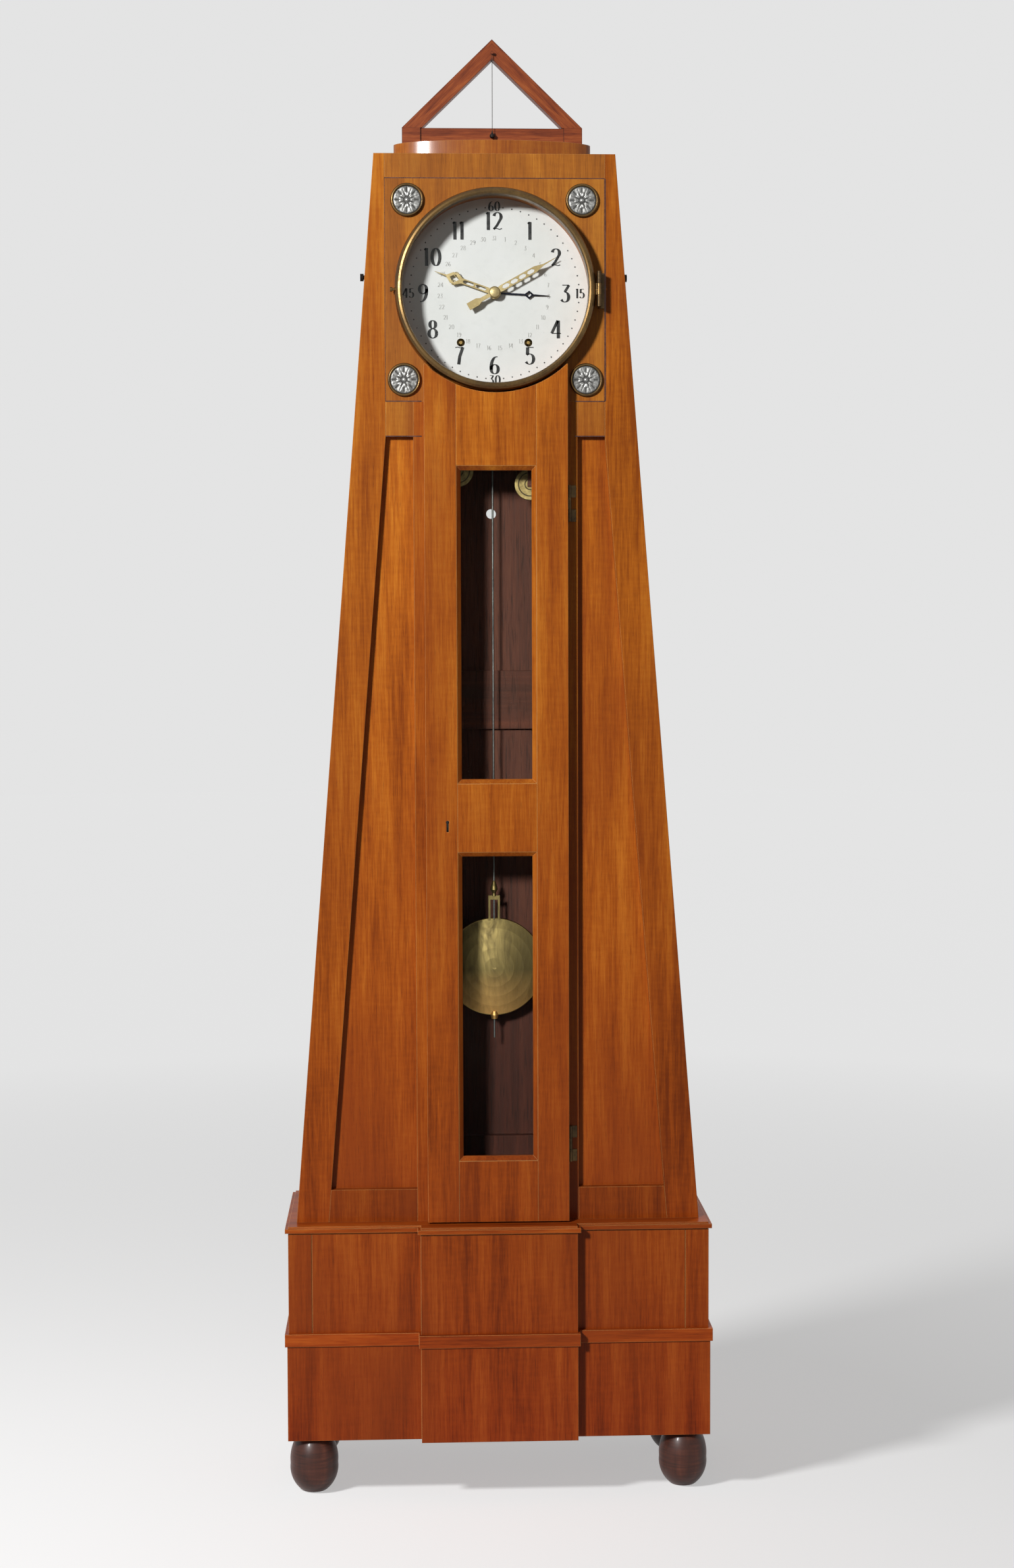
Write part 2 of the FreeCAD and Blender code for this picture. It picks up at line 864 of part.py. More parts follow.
keyhole_x = -window_half - keyhole_inset
keyhole_z = middle_rail_low + keyhole_rise
key_left = keyhole_x - keyhole_wide / 2
key_right = keyhole_x + keyhole_wide / 2
key_low = keyhole_z - keyhole_tall
keyhole = box(key_left, key_right, -door_thick - over, over, key_low, keyhole_z)
keyhole = keyhole.fuse(rod_back(keyhole_x, keyhole_z, keyhole_eye, -door_thick - over, over))

door_stile = box(window_half, door_half, -door_thick, 0, door_low, door_horn).cut(bezel_space)
save("door_stiles", [door_stile, mirrored(door_stile).cut(keyhole)])
rail_bottom = slab(window_half, -door_thick, 0, door_low, lower_window_low)
rail_middle = slab(window_half, -door_thick, 0, middle_rail_low, upper_window_low)
rail_top = slab(window_half, -door_thick, 0, upper_window_high, door_horn).cut(bezel_space)
save("door_rails", [rail_bottom, rail_middle, rail_top])


def ring_of(half, depth, z0, z1):
    corners = both_sides([(half, z0), (half, z1)])
    return Part.makePolygon([point(x, depth, z) for x, z in corners + corners[:1]])


def bead_frame(z0, z1):
    pane_face = bead_depth - door_thick
    inner_half = window_half - bead_wide
    inner_z0 = z0 + bead_wide
    inner_z1 = z1 - bead_wide
    outer = slab(window_half, -door_thick, pane_face, z0, z1)
    opening = slab(inner_half, -door_thick - over, bead_depth, inner_z0, inner_z1)
    front_ring = ring_of(window_half, -door_thick, z0, z1)
    inner_ring = ring_of(inner_half, bead_wide - door_thick, inner_z0, inner_z1)
    slope = Part.makeLoft([front_ring, inner_ring], True, True)
    return outer.cut(slope).cut(opening)


save("door_beads", [bead_frame(z0, z1) for z0, z1 in windows])
pane_front = bead_depth - door_thick
save("door_glass", [slab(window_half, pane_front, pane_front + pane_thick, z0, z1) for z0, z1 in windows])

# Lock behind the left stile, with a bolt that shoots into the jamb
lock_left = part_gap - jamb_inner
lock_right = lock_left + lock_wide
lock_low = keyhole_z - lock_tall / 2
bolt_low = keyhole_z - bolt_tall / 2
bolt_high = bolt_low + bolt_tall
bolt_back = bolt_front + bolt_thick
bolt_left = lock_left + bolt_set_back
channel = box(
    lock_left - over,
    bolt_left + bolt_length + part_gap,
    bolt_front - run_gap,
    bolt_back + run_gap,
    bolt_low - run_gap,
    bolt_high + run_gap,
)
key_way = box(key_left, key_right, -over, bolt_front - bolt_set_back, key_low, keyhole_z)
lock_case = box(lock_left, lock_right, 0, lock_thick, lock_low, lock_low + lock_tall)
save("door_lock", lock_case.cut(channel).cut(key_way))
save("lock_bolt", box(bolt_left, bolt_left + bolt_length, bolt_front, bolt_back, bolt_low, bolt_high))

jamb = box(jamb_inner, field_inner, 0, frame_thick, trunk_foot, board_low)
strike_slot = box(
    -jamb_inner - bolt_throw - part_gap,
    over - jamb_inner,
    bolt_front - part_gap,
    bolt_back + part_gap,
    bolt_low - part_gap,
    bolt_high + part_gap,
)
save("door_jambs", [jamb, mirrored(jamb).cut(strike_slot)])

# Butt hinges of the trunk door
hinge_x = door_half + hinge_stand
hinge_depth = -hinge_stand
door_leaves = []
case_leaves = []
for middle in (lower_window_low + hinge_low_rise, upper_window_high - hinge_high_drop):
    third = hinge_tall / 3
    low = middle - hinge_tall / 2
    high = middle + hinge_tall / 2
    z0 = low + third + knuckle_gap
    z1 = high - third - knuckle_gap
    knuckle = rod_up(hinge_x, hinge_depth, hinge_knuckle, z0, z1)
    arm = box(door_half, hinge_x, hinge_depth - hinge_leaf, hinge_depth, z0, z1)
    flap = box(door_half, door_half + hinge_leaf, hinge_depth - hinge_leaf_wide, hinge_depth, z0, z1)
    pin_hole = rod_up(hinge_x, hinge_depth, hinge_pin + run_gap, low, high)
    door_leaves.append(joined([knuckle, arm, flap]).cut(pin_hole))
    fixed = [rod_up(hinge_x, hinge_depth, hinge_pin, low, high)]
    for end in (low, high - third):
        fixed.append(rod_up(hinge_x, hinge_depth, hinge_knuckle, end, end + third))
        leaf_right = hinge_x + hinge_leaf_wide
        fixed.append(box(hinge_x - hinge_leaf / 2, leaf_right, -hinge_leaf, 0, end, end + third))
    case_leaves.append(joined(fixed))
save("hinge_leaves_door", door_leaves)

# Bezel: a deep ring with its glass, hinged at the right, with a knob at the left
bezel_back = -bezel_lift
bezel_hinge_x = bezel_radius + bezel_hinge_stand
crown_fall = bezel_cove / 9
ring = turned_back(0, dial_height, [
    (bezel_rebate, bezel_back),
    (bezel_radius, bezel_back),
    (bezel_radius, bezel_front + bezel_cove),
    (bezel_radius - bezel_band * 0.16, bezel_front + bezel_cove * 0.44),
    (bezel_radius - bezel_band * 0.44, bezel_front + bezel_cove * 0.09),
    (bezel_radius - bezel_crown, bezel_front),
    (bezel_inner + crown_fall, bezel_front + crown_fall),
    (bezel_inner, bezel_front + bezel_cove * 0.4),
    (bezel_inner, bezel_pane),
    (bezel_rebate, bezel_pane),
])
third = bezel_hinge_tall / 3
low = dial_height - bezel_hinge_tall / 2
high = dial_height + bezel_hinge_tall / 2
z0 = low + third + knuckle_gap
z1 = high - third - knuckle_gap
tab_left = bezel_radius - bezel_strap
tab_back = bezel_hinge_depth + bezel_strap
tab = box(tab_left, bezel_hinge_x, bezel_hinge_depth, tab_back, z0, z1)
tab = tab.cut(rod_back(0, dial_height, bezel_radius - part_gap / 2, bezel_front - over, bezel_back + over))
knuckle = rod_up(bezel_hinge_x, bezel_hinge_depth, bezel_knuckle, z0, z1)
pin_hole = rod_up(bezel_hinge_x, bezel_hinge_depth, bezel_pin + run_gap, low, high)
bezel_leaf = knuckle.fuse(tab).cut(pin_hole)
catch_left = -bezel_radius - catch_out
catch = joined([
    rod_across(catch_depth, dial_height, catch_stem, catch_left + over, catch_stem - bezel_radius),
    rod_across(catch_depth, dial_height, catch_radius, catch_left, catch_left + catch_out / 2),
])
save("bezel_ring", joined([ring, bezel_leaf, catch]))
save("bezel_glass", rod_back(0, dial_height, bezel_rebate - 2 * fit_gap, bezel_pane, bezel_pane + pane_thick))

bracket = [
    rod_up(bezel_hinge_x, bezel_hinge_depth, bezel_pin, low, high),
    box(bezel_hinge_x, bezel_hinge_x + bezel_leaf_wide, -bezel_strap, 0, low, high),
]
for end in (low, high - third):
    bracket.append(rod_up(bezel_hinge_x, bezel_hinge_depth, bezel_knuckle, end, end + third))
    strap_right = bezel_hinge_x + bezel_strap
    bracket.append(box(bezel_hinge_x, strap_right, bezel_hinge_depth, 0, end, end + third))
side_leaves = side_hinge_fixed + [mirrored(leaf) for leaf in side_hinge_fixed]
save("hinge_leaves_case", case_leaves + [joined(bracket)] + side_leaves)

# Shares of the pitch that a tooth takes at tip and root, and its height and depth in modules
wheel_tooth = (0.16, 0.44, 0.8, 1.0)
pinion_tooth = (0.16, 0.40, 0.55, 1.25)
arbor_front = front_plate + plate_thick + arbor_shake
arbor_back = back_plate - arbor_shake


def gear(x, z, teeth, module, shape, start, d0, d1):
    tip, root, above, below = shape
    step = 2 * math.pi / teeth
    middle = teeth * module / 2
    outline = []
    for tooth in range(teeth):
        at = start + tooth * step
        for share, reach in ((-root, -below), (-tip, above), (tip, above), (root, -below)):
            outline.append(polar(x, z, middle + reach * module, at + share * step / 2))
    return prism_back(outline, d0, d1)


def crossed(wheel, x, z, hub, rim, d0, d1):
    half = math.pi / wheel_arms * 0.72
    for arm in range(wheel_arms):
        middle = 2 * math.pi * (arm + 0.5) / wheel_arms
        outer = [polar(x, z, rim, middle + share * half) for share in (-1, -0.33, 0.33, 1)]
        inner = [polar(x, z, hub, middle + share * half) for share in (0.55, -0.55)]
        wheel = wheel.cut(prism_back(outer + inner, d0 - over, d1 + over))
    return wheel


def wheel(x, z, teeth, module, facing, d0, hub):
    rim = teeth * module / 2 - wheel_rim_deep
    body = gear(x, z, teeth, module, wheel_tooth, facing, d0, d0 + wheel_thick)
    return crossed(body, x, z, hub, rim, d0, d0 + wheel_thick)


def pinion(x, z, leaves, module, facing, d0, d1):
    return gear(x, z, leaves, module, pinion_tooth, facing + math.pi / leaves, d0, d1)


def pinion_for(x, z, leaves, module, facing, wheel_front):
    return pinion(x, z, leaves, module, facing, wheel_front - pinion_ahead, wheel_front + pinion_behind)


def arbor(x, z):
    return joined([
        rod_back(x, z, arbor_radius, arbor_front, arbor_back),
        rod_back(x, z, pivot_radius, front_plate, back_plate + plate_thick),
    ])


def meet(ax, az, a_reach, bx, bz, b_reach):
    apart = math.hypot(bx - ax, bz - az)
    along = (a_reach**2 - b_reach**2 + apart**2) / (2 * apart)
    off = -math.sqrt(a_reach**2 - along**2)
    ux = (bx - ax) / apart
    uz = (bz - az) / apart
    return ax + along * ux - off * uz, az + along * uz + off * ux


def towards(ax, az, bx, bz):
    return math.atan2(bz - az, bx - ax)


def reach(wheel_teeth, leaves, module):
    return module * (wheel_teeth + leaves) / 2


# Places of the arbors. The two great wheels just clear each other.
great_reach = wind_x * great_reach_share
great_module = 2 * great_reach / (great_teeth + great_pinion)
second_reach = reach(second_teeth, second_pinion, second_module)
centre_reach = reach(centre_teeth, third_pinion, centre_module)
third_reach = reach(third_teeth, third_pinion, third_module)
pin_reach = reach(pin_teeth, fly_pinion, pin_module)
motion_reach = reach(minute_teeth, cannon_teeth, motion_module)
hour_module = 2 * motion_reach / (minute_pinion + hour_teeth)
second_x, second_z = meet(0, dial_height, second_reach, -wind_x, barrel_z, great_reach)
third_x, third_z = meet(0, dial_height, centre_reach, 0, escape_z, third_reach)
pin_x = wind_x
pin_z = barrel_z + great_reach
fly_x, fly_z = polar(pin_x, pin_z, pin_reach, math.radians(60))
minute_x, minute_z = polar(0, dial_height, motion_reach, math.radians(-40))
hammer_x = wind_x + hammer_out
hammer_z = dial_height + hammer_rise

# Great wheels, loose on their barrels so that winding does not turn the trains
going_facing = towards(-wind_x, barrel_z, second_x, second_z)


def great_wheel(x, facing):
    body = wheel(x, barrel_z, great_teeth, great_module, facing, great_front, drum_flange + part_gap)
    bore_back = great_front + wheel_thick + over
    bore = rod_back(x, barrel_z, winder_radius + run_gap, great_front - over, bore_back)
    return body.cut(bore)


def barrel(x):
    flange_front = great_front + wheel_thick + wheel_shake
    collet_back = great_front - wheel_shake
    return joined([
        rod_back(x, barrel_z, collet_radius, collet_back - collet_thick, collet_back),
        rod_back(x, barrel_z, drum_flange, flange_front, drum_front),
        rod_back(x, barrel_z, drum_radius, drum_front - over, drum_back + over),
        rod_back(x, barrel_z, drum_flange, drum_back, drum_back + flange_thick),
        rod_back(x, barrel_z, winder_radius, arbor_front, arbor_back),
        rod_back(x, barrel_z, winder_square, winder_front, back_plate + plate_thick),
    ])


save("going_great_wheel", great_wheel(-wind_x, going_facing))
save("going_barrel", barrel(-wind_x))
save("strike_great_wheel", great_wheel(wind_x, math.pi / 2))
save("strike_barrel", barrel(wind_x))

# Going train
centre_leaves_facing = towards(0, dial_height, second_x, second_z)
second_facing = centre_leaves_facing + math.pi
save("second_wheel", joined([
    wheel(second_x, second_z, second_teeth, second_module, second_facing, second_front, wheel_hub),
    pinion_for(second_x, second_z, great_pinion, great_module, going_facing + math.pi, great_front),
    arbor(second_x, second_z),
]))

centre_facing = towards(0, dial_height, third_x, third_z)
motion_facing = towards(0, dial_height, minute_x, minute_z)
arbor_tip = minute_depth - hand_thick
pipe_front = minute_depth + hand_thick + wheel_shake
cannon_back = cannon_front + pinion_behind
save("centre_wheel", joined([
    wheel(0, dial_height, centre_teeth, centre_module, centre_facing, centre_front, wheel_hub),
    pinion_for(0, dial_height, second_pinion, second_module, centre_leaves_facing, second_front),
    arbor(0, dial_height),
    rod_back(0, dial_height, arbor_radius, arbor_tip, front_plate),
    rod_back(0, dial_height, cannon_pipe, pipe_front, cannon_back),
    pinion(0, dial_height, cannon_teeth, motion_module, motion_facing, cannon_front, cannon_back),
]))

third_facing = towards(third_x, third_z, 0, escape_z)
save("third_wheel", joined([
    wheel(third_x, third_z, third_teeth, third_module, third_facing, third_front, wheel_hub),
    pinion_for(third_x, third_z, third_pinion, centre_module, centre_facing + math.pi, centre_front),
    arbor(third_x, third_z),
]))

escape_back = escape_front + escape_thick
escape_root = escape_radius - escape_tooth_deep
escape_outline = []
for tooth in range(escape_teeth):
    for radius, share in ((escape_radius, 0), (escape_root, 0.10), (escape_root, 0.62)):
        escape_outline.append(polar(0, escape_z, radius, 2 * math.pi * (tooth + share) / escape_teeth))
escape = prism_back(escape_outline, escape_front, escape_back)
escape_hub = wheel_hub * 0.64
escape_rim = escape_root - escape_tooth_deep * 0.76
save("escape_wheel", joined([
    crossed(escape, 0, escape_z, escape_hub, escape_rim, escape_front, escape_back),
    pinion_for(0, escape_z, third_pinion, third_module, third_facing + math.pi, third_front),
    arbor(0, escape_z),
]))

# Anchor with its crutch behind the back plate
arch_inner = escape_radius + pallet_gap
arch_outer = arch_inner + pallet_wide
anchor_front = escape_front - over
outer_turns = [math.radians(90 - degrees) for degrees in (26, 44, 60)]
inner_turns = [math.radians(90 - degrees) for degrees in (60, 44, 26, 8)]
right_arm = [(anchor_hub, pallet_z + anchor_hub)]
right_arm += [polar(0, escape_z, arch_outer, turn) for turn in outer_turns]
right_arm += [polar(0, escape_z, arch_inner, turn) for turn in inner_turns]
crutch_back = crutch_front + crutch_thick
crutch_low = pallet_z - crutch_reach
fork_half = rod_radius + prong_clear
fork_out = fork_half + prong_thick
prong_back = pendulum_depth + prong_tall
prong = box(fork_half, fork_out, crutch_front, prong_back, crutch_low - prong_tall, crutch_low)
save("anchor", joined([
    prism_back(both_sides(right_arm), anchor_front, anchor_front + anchor_thick),
    rod_back(0, pallet_z, arbor_radius, arbor_front, arbor_back),
    rod_back(0, pallet_z, pivot_radius, front_plate, crutch_back),
    slab(crutch_wide / 2, crutch_front, crutch_back, crutch_low, pallet_z + crutch_wide),
    slab(fork_out, crutch_front, crutch_back, crutch_low - prong_tall, crutch_low + over),
    prong,
    mirrored(prong),
]))

# Motion work behind the dial
minute_back = minute_front + 1.5 * wheel_thick
minute_facing = motion_facing + math.pi
hour_pinion = pinion(
    minute_x, minute_z, minute_pinion, hour_module, minute_facing, hour_front - over, minute_front + over
)
minute_gear = gear(
    minute_x, minute_z, minute_teeth, motion_module, wheel_tooth, minute_facing, minute_front, minute_back
)
minute_body = joined([minute_gear, hour_pinion])
stud_hole = rod_back(minute_x, minute_z, minute_stud + run_gap, dial_thick, back_plate)
save("minute_wheel", minute_body.cut(stud_hole))


# Hands, drawn at twelve and then turned to the hour in the photograph
def hand(outline, holes, depth, hub, bore, angle):
    back = depth + hand_thick
    blade = prism_back([(x, dial_height + z) for x, z in outline], depth, back)
    for hole in holes:
        blade = blade.cut(prism_back([(x, dial_height + z) for x, z in hole], depth - over, back + over))
    blade = blade.fuse(rod_back(0, dial_height, hub, depth, back)).removeSplitter()
    blade = blade.cut(rod_back(0, dial_height, bore, depth - over, back + over))
    blade.rotate(point(0, 0, dial_height), FreeCAD.Vector(0, 1, 0), angle)
    return blade


def link(z0, z1, half):
    return [(-half, z0 + half), (0, z0), (half, z0 + half), (half, z1 - half), (0, z1), (-half, z1 - half)]


def sleeve(radius, bore, d0, d1):
    return rod_back(0, dial_height, radius, d0, d1).cut(rod_back(0, dial_height, bore, d0 - over, d1 + over))


link_low = 2.4 * cannon_pipe * 2
minute_pitch = (minute_shoulder - link_low) / minute_links
minute_neck = minute_shoulder + 3 * minute_half
tail_waist = minute_tail - minute_tail_long
minute_right = [
    (minute_tail_half, -minute_tail),
    (minute_tail_half, -tail_waist),
    (hand_root, minute_tail_half - tail_waist),
    (hand_root, 0),
    (minute_half, link_low - hand_thick),
    (minute_half, minute_shoulder),
    (hand_point, minute_neck),
    (hand_point / 4, minute_tip),
]
minute_holes = []
for step in range(minute_links):
    start = link_low + step * minute_pitch
    minute_holes.append(link(start, start + minute_pitch - hand_thick, minute_half - 1.2 * hand_thick))
minute_hub = 3 * cannon_pipe
minute_bore = arbor_radius + run_gap
minute_outline = both_sides(minute_right)
save("minute_hand", hand(minute_outline, minute_holes, minute_depth, minute_hub, minute_bore, minute_angle))

hour_ring_high = hour_ring_low + hour_ring_tall
hour_ring_third = hour_ring_tall / 3
hour_right = [
    (hand_root, 0),
    (hour_half, link_low - hand_thick),
    (hour_half, hour_ring_low),
    (hour_ring_half, hour_ring_low + hour_ring_third),
    (hour_ring_half, hour_ring_high - hour_ring_third),
    (hand_point, hour_ring_high + hand_point),
    (hand_point / 4, hour_tip),
]
hour_slot = (hour_ring_low - link_low) / 2
hour_link_half = hour_half - 1.15 * hand_thick
hour_holes = [
    link(link_low, link_low + hour_slot - hand_thick, hour_link_half),
    link(link_low + hour_slot, hour_ring_low - hand_thick, hour_link_half),
    link(hour_ring_low + 3 * hand_thick, hour_ring_high - 3 * hand_thick, hour_ring_half - 2 * hand_thick),
]
hour_hub = 3.5 * cannon_pipe
hour_bore = cannon_pipe + run_gap
hour_back = hour_front + 1.25 * wheel_thick
hour_blade = hand(both_sides(hour_right), hour_holes, hour_depth, hour_hub, hour_bore, hour_angle)
hour_gear = gear(0, dial_height, hour_teeth, hour_module, wheel_tooth, motion_facing, hour_front, hour_back)
hour_gear = hour_gear.cut(rod_back(0, dial_height, hour_bore, hour_front - over, hour_back + over))
save("hour_hand", joined([hour_blade, sleeve(hour_pipe, hour_bore, hour_depth, hour_back), hour_gear]))

date_right = [
    (date_half, 0),
    (date_half, date_ring - date_ring_half),
    (date_ring_half, date_ring),
    (date_half, date_ring + date_ring_half),
    (date_half / 4, date_tip),
]
date_hole_half = date_ring_half - 2 * hand_thick
date_holes = [link(date_ring - 1.2 * date_hole_half, date_ring + 1.2 * date_hole_half, date_hole_half)]
date_bore = hour_pipe + run_gap
date_hub = 1.3 * date_pipe
date_back = date_front + date_wheel_thick
date_blade = hand(both_sides(date_right), date_holes, date_depth, date_hub, date_bore, date_angle)
date_sleeve = sleeve(date_pipe, date_bore, date_depth, date_back)
date_disc = sleeve(date_wheel_radius, date_bore, date_front, date_back)
save("date_hand", joined([date_blade, date_sleeve, date_disc]))

# Enamel dial on feet that stand on the front plate
dial_front = board_thick
dial_back = dial_front + dial_thick
dial = rod_back(0, dial_height, dial_radius, dial_front, dial_back)
for degrees in (25, 155, 205, 335):
    foot_at_x, foot_at_z = polar(0, dial_height, dial_foot_ring, math.radians(degrees))
    foot_start = dial_front + dial_thick / 2
    dial = dial.fuse(rod_back(foot_at_x, foot_at_z, dial_foot_radius, foot_start, front_plate))
dial = dial.removeSplitter()
dial = dial.cut(rod_back(0, dial_height, 1.3 * date_pipe, dial_front - over, dial_back + over))
for side in (-1, 1):
    dial = dial.cut(rod_back(side * wind_x, barrel_z, wind_hole, dial_front - over, dial_back + over))
save("dial_plate", dial)

# Strike train: pin wheel and fly
pin_facing = towards(pin_x, pin_z, fly_x, fly_z)
pin_back = pin_front + wheel_thick
pin_parts = [
    gear(pin_x, pin_z, pin_teeth, pin_module, wheel_tooth, pin_facing, pin_front, pin_back),
    pinion_for(pin_x, pin_z, great_pinion, great_module, -math.pi / 2, great_front),
    arbor(pin_x, pin_z),
]
for step in range(pins):
    at_x, at_z = polar(pin_x, pin_z, pin_ring, 2 * math.pi * step / pins)
    pin_parts.append(rod_back(at_x, at_z, pin_radius, pin_front - pin_length, pin_front + over))
save("pin_wheel", joined(pin_parts))
fly_low = fly_z - fly_thick / 2
save("fly", joined([
    pinion_for(fly_x, fly_z, fly_pinion, pin_module, pin_facing + math.pi, pin_front),
    arbor(fly_x, fly_z),
    box(fly_x - fly_half, fly_x + fly_half, fly_front, fly_back, fly_low, fly_low + fly_thick),
]))

# Bell on its strap, and the hammer
bell_mouth = plate_high + bell_rise
bell_crown = bell_mouth + bell_tall
bell_shoulder = bell_crown - bell_tall * 0.3
bell_waist = bell_crown - bell_tall * 0.62
bell_shell = turned_up(0, bell_depth, [
    (0, bell_crown - bell_wall),
    (bell_radius * 0.53, bell_crown - 1.5 * bell_wall),
    (bell_radius * 0.83 - bell_wall, bell_shoulder - bell_wall / 2),
    (bell_radius * 0.95 - bell_wall, bell_waist),
    (bell_radius - bell_wall, bell_mouth),
    (bell_radius, bell_mouth),
    (bell_radius * 0.95, bell_waist),
    (bell_radius * 0.83, bell_shoulder),
    (bell_radius * 0.55, bell_crown),
    (0, bell_crown),
])
strap_low = plate_high - bell_strap_grip
strap_top = bell_crown + bell_strap_rise
strap_high = strap_top + bell_strap_thick
strap_front = back_plate - bell_strap_thick
save("bell", joined([
    bell_shell,
    slab(bell_strap_half, strap_front, back_plate, strap_low, strap_high),
    slab(bell_strap_half, bell_depth - bell_strap_half, back_plate, strap_top, strap_high),
    rod_up(0, bell_depth, bell_bolt, bell_crown - 2 * bell_wall, strap_top + over),
]))

hammer_back = hammer_front + hammer_thick
hammer_level = bell_mouth + hammer_above_mouth
head_left = bell_radius + hammer_gap
head_middle = head_left + hammer_head_long / 2
tail_x = pin_x + 2.5 * hammer_half
tail_z = pin_z + hammer_tail_clear
hammer_arm = [
    (hammer_x - hammer_half, hammer_z - hammer_half),
    (hammer_x + hammer_half, hammer_z - hammer_half),
    (head_middle + hammer_half, hammer_level),
    (head_middle - hammer_half, hammer_level),
]
hammer_tail = [
    (hammer_x - hammer_half, hammer_z + hammer_half),
    (hammer_x + hammer_half, hammer_z + hammer_half),
    (tail_x + hammer_half / 2, tail_z),
    (tail_x - hammer_half / 2, tail_z),
]
save("hammer", joined([
    prism_back(hammer_arm, hammer_front, hammer_back),
    prism_back(hammer_tail, hammer_front, hammer_back),
    rod_back(head_middle, hammer_level, hammer_half * 0.75, hammer_front, bell_depth + over),
    rod_across(bell_depth, hammer_level, hammer_head_radius, head_left, head_left + hammer_head_long),
    arbor(hammer_x, hammer_z),
]))

# Plates, pillars and the cock that holds the pendulum
spring_top = pallet_z + spring_rise
cock_low = pallet_z - cock_below
cock_high = pallet_z + cock_above
pivots = [
    (second_x, second_z),
    (0, dial_height),
    (third_x, third_z),
    (0, escape_z),
    (0, pallet_z),
    (pin_x, pin_z),
    (fly_x, fly_z),
    (hammer_x, hammer_z),
]


def movement_plate(d0):
    d1 = d0 + plate_thick
    plate = slab(plate_half, d0, d1, plate_low, plate_high)
    for x, z in pivots:
        plate = plate.cut(rod_back(x, z, pivot_radius + run_gap, d0 - over, d1 + over))
    for side in (-1, 1):
        plate = plate.cut(rod_back(side * wind_x, barrel_z, winder_square + run_gap, d0 - over, d1 + over))
    return plate


centre_bore = arbor_radius + run_gap
centre_hole = rod_back(0, dial_height, centre_bore, front_plate - over, front_plate + plate_thick / 2)
stud = rod_back(minute_x, minute_z, minute_stud, hour_front - 2 * over, front_plate + over)
face_plate = movement_plate(front_plate).cut(centre_hole).fuse(stud).removeSplitter()
cock_front = back_plate + plate_thick + fit_gap
crutch_room = crutch_back + prong_tall
cock = slab(cock_half, cock_front, cock_back, cock_low, cock_high)
cock = cock.cut(slab(cock_half - cock_wall, back_plate, crutch_room, cock_low - over, cock_high - cock_wall))
cock = cock.cut(slab(cock_slot, crutch_front, cock_back + over, cock_low - over, spring_top + over))
movement = [face_plate, movement_plate(back_plate), cock]
pillar_front = front_plate + plate_thick + fit_gap
for side in (-1, 1):
    for z in (plate_low + pillar_inset, plate_high - pillar_inset):
        movement.append(rod_back(side * pillar_x, z, pillar_radius, pillar_front, back_plate - fit_gap))
save("movement_frame", movement)

# Pendulum: spring, rod, lens bob in a stirrup, finial and rating nut
rod_top = pallet_z - rod_drop
rod_low = bob_height - bob_radius - rod_tail
block_low = rod_top - spring_block
spring_front = pendulum_depth - spring_wide / 2
spring_back = pendulum_depth + spring_wide / 2
block_front = pendulum_depth - spring_block / 2
block_back = pendulum_depth + spring_block / 2
save("pendulum_rod", joined([
    slab(spring_half, spring_front, spring_back, block_low + over, spring_top),
    slab(spring_block / 2, block_front, block_back, block_low, rod_top),
    rod_up(0, pendulum_depth, rod_radius, rod_low, rod_top - over),
]))

lens_steps = 5
lens_swell = (bob_thick - bob_rim) / 2
lens_profile = [(0, pendulum_depth + bob_thick / 2)]
for step in range(1, lens_steps + 1):
    share = step / lens_steps
    lens_profile.append((bob_radius * share, pendulum_depth + bob_rim / 2 + lens_swell * (1 - share**2)))
lens_profile += [(radius, 2 * pendulum_depth - depth) for radius, depth in lens_profile[::-1]]
bob_top = bob_height + bob_radius
bob_low = bob_height - bob_radius
stirrup_high = bob_top + stirrup_rise
stirrup_front = pendulum_depth - stirrup_thick / 2
stirrup_back = pendulum_depth + stirrup_thick / 2
leg_low = bob_top - stirrup_hold
leg = box(stirrup_half - stirrup_leg, stirrup_half, stirrup_front, stirrup_back, leg_low, stirrup_high)
bridge = slab(stirrup_half, stirrup_front, stirrup_back, stirrup_high - stirrup_bridge, stirrup_high)
finial_base = stirrup_high - over
finial_top = stirrup_high + finial_tall
finial = turned_up(0, pendulum_depth, [
    (0, finial_base),
    (finial_radius * 0.62, finial_base),
    (finial_radius * 0.46, finial_base + finial_tall * 0.2),
    (finial_radius, finial_base + finial_tall * 0.44),
    (finial_radius * 0.85, finial_base + finial_tall * 0.68),
    (finial_radius * 0.35, finial_top),
    (0, finial_top),
])
nut_low = bob_low - nut_tall / 2
nut_high = bob_low + nut_tall / 2
nut = turned_up(0, pendulum_depth, [
    (0, nut_low),
    (nut_radius * 0.73, nut_low),
    (nut_radius, bob_low),
    (nut_radius * 0.73, nut_high),
    (0, nut_high),
])
rod_bore = rod_up(0, pendulum_depth, rod_radius + run_gap, rod_low, finial_top + over)
lens = turned_back(0, bob_height, lens_profile)
save("pendulum_bob", joined([lens, leg, mirrored(leg), bridge, finial, nut]).cut(rod_bore))

# Pulleys that lead the lines clear of the door, on straps under the seat board
seat_low = plate_low - seat_thick
left_pulley_z = seat_low - left_pulley_drop
right_pulley_z = seat_low - right_pulley_drop
outer_pulley_z = seat_low - outer_pulley_drop
drum_line = drum_radius + cord_radius
pulley_line = pulley_groove + cord_radius
pulley_radius = pulley_groove + pulley_lip
drum_line_x = wind_x - drum_line
inner_x = drum_line_x + pulley_line
rise_x = inner_x + pulley_line
outer_x = rise_x + pulley_line
drop_x = outer_x + pulley_line
pulley_front = line_depth - pulley_half
pulley_back = line_depth + pulley_half


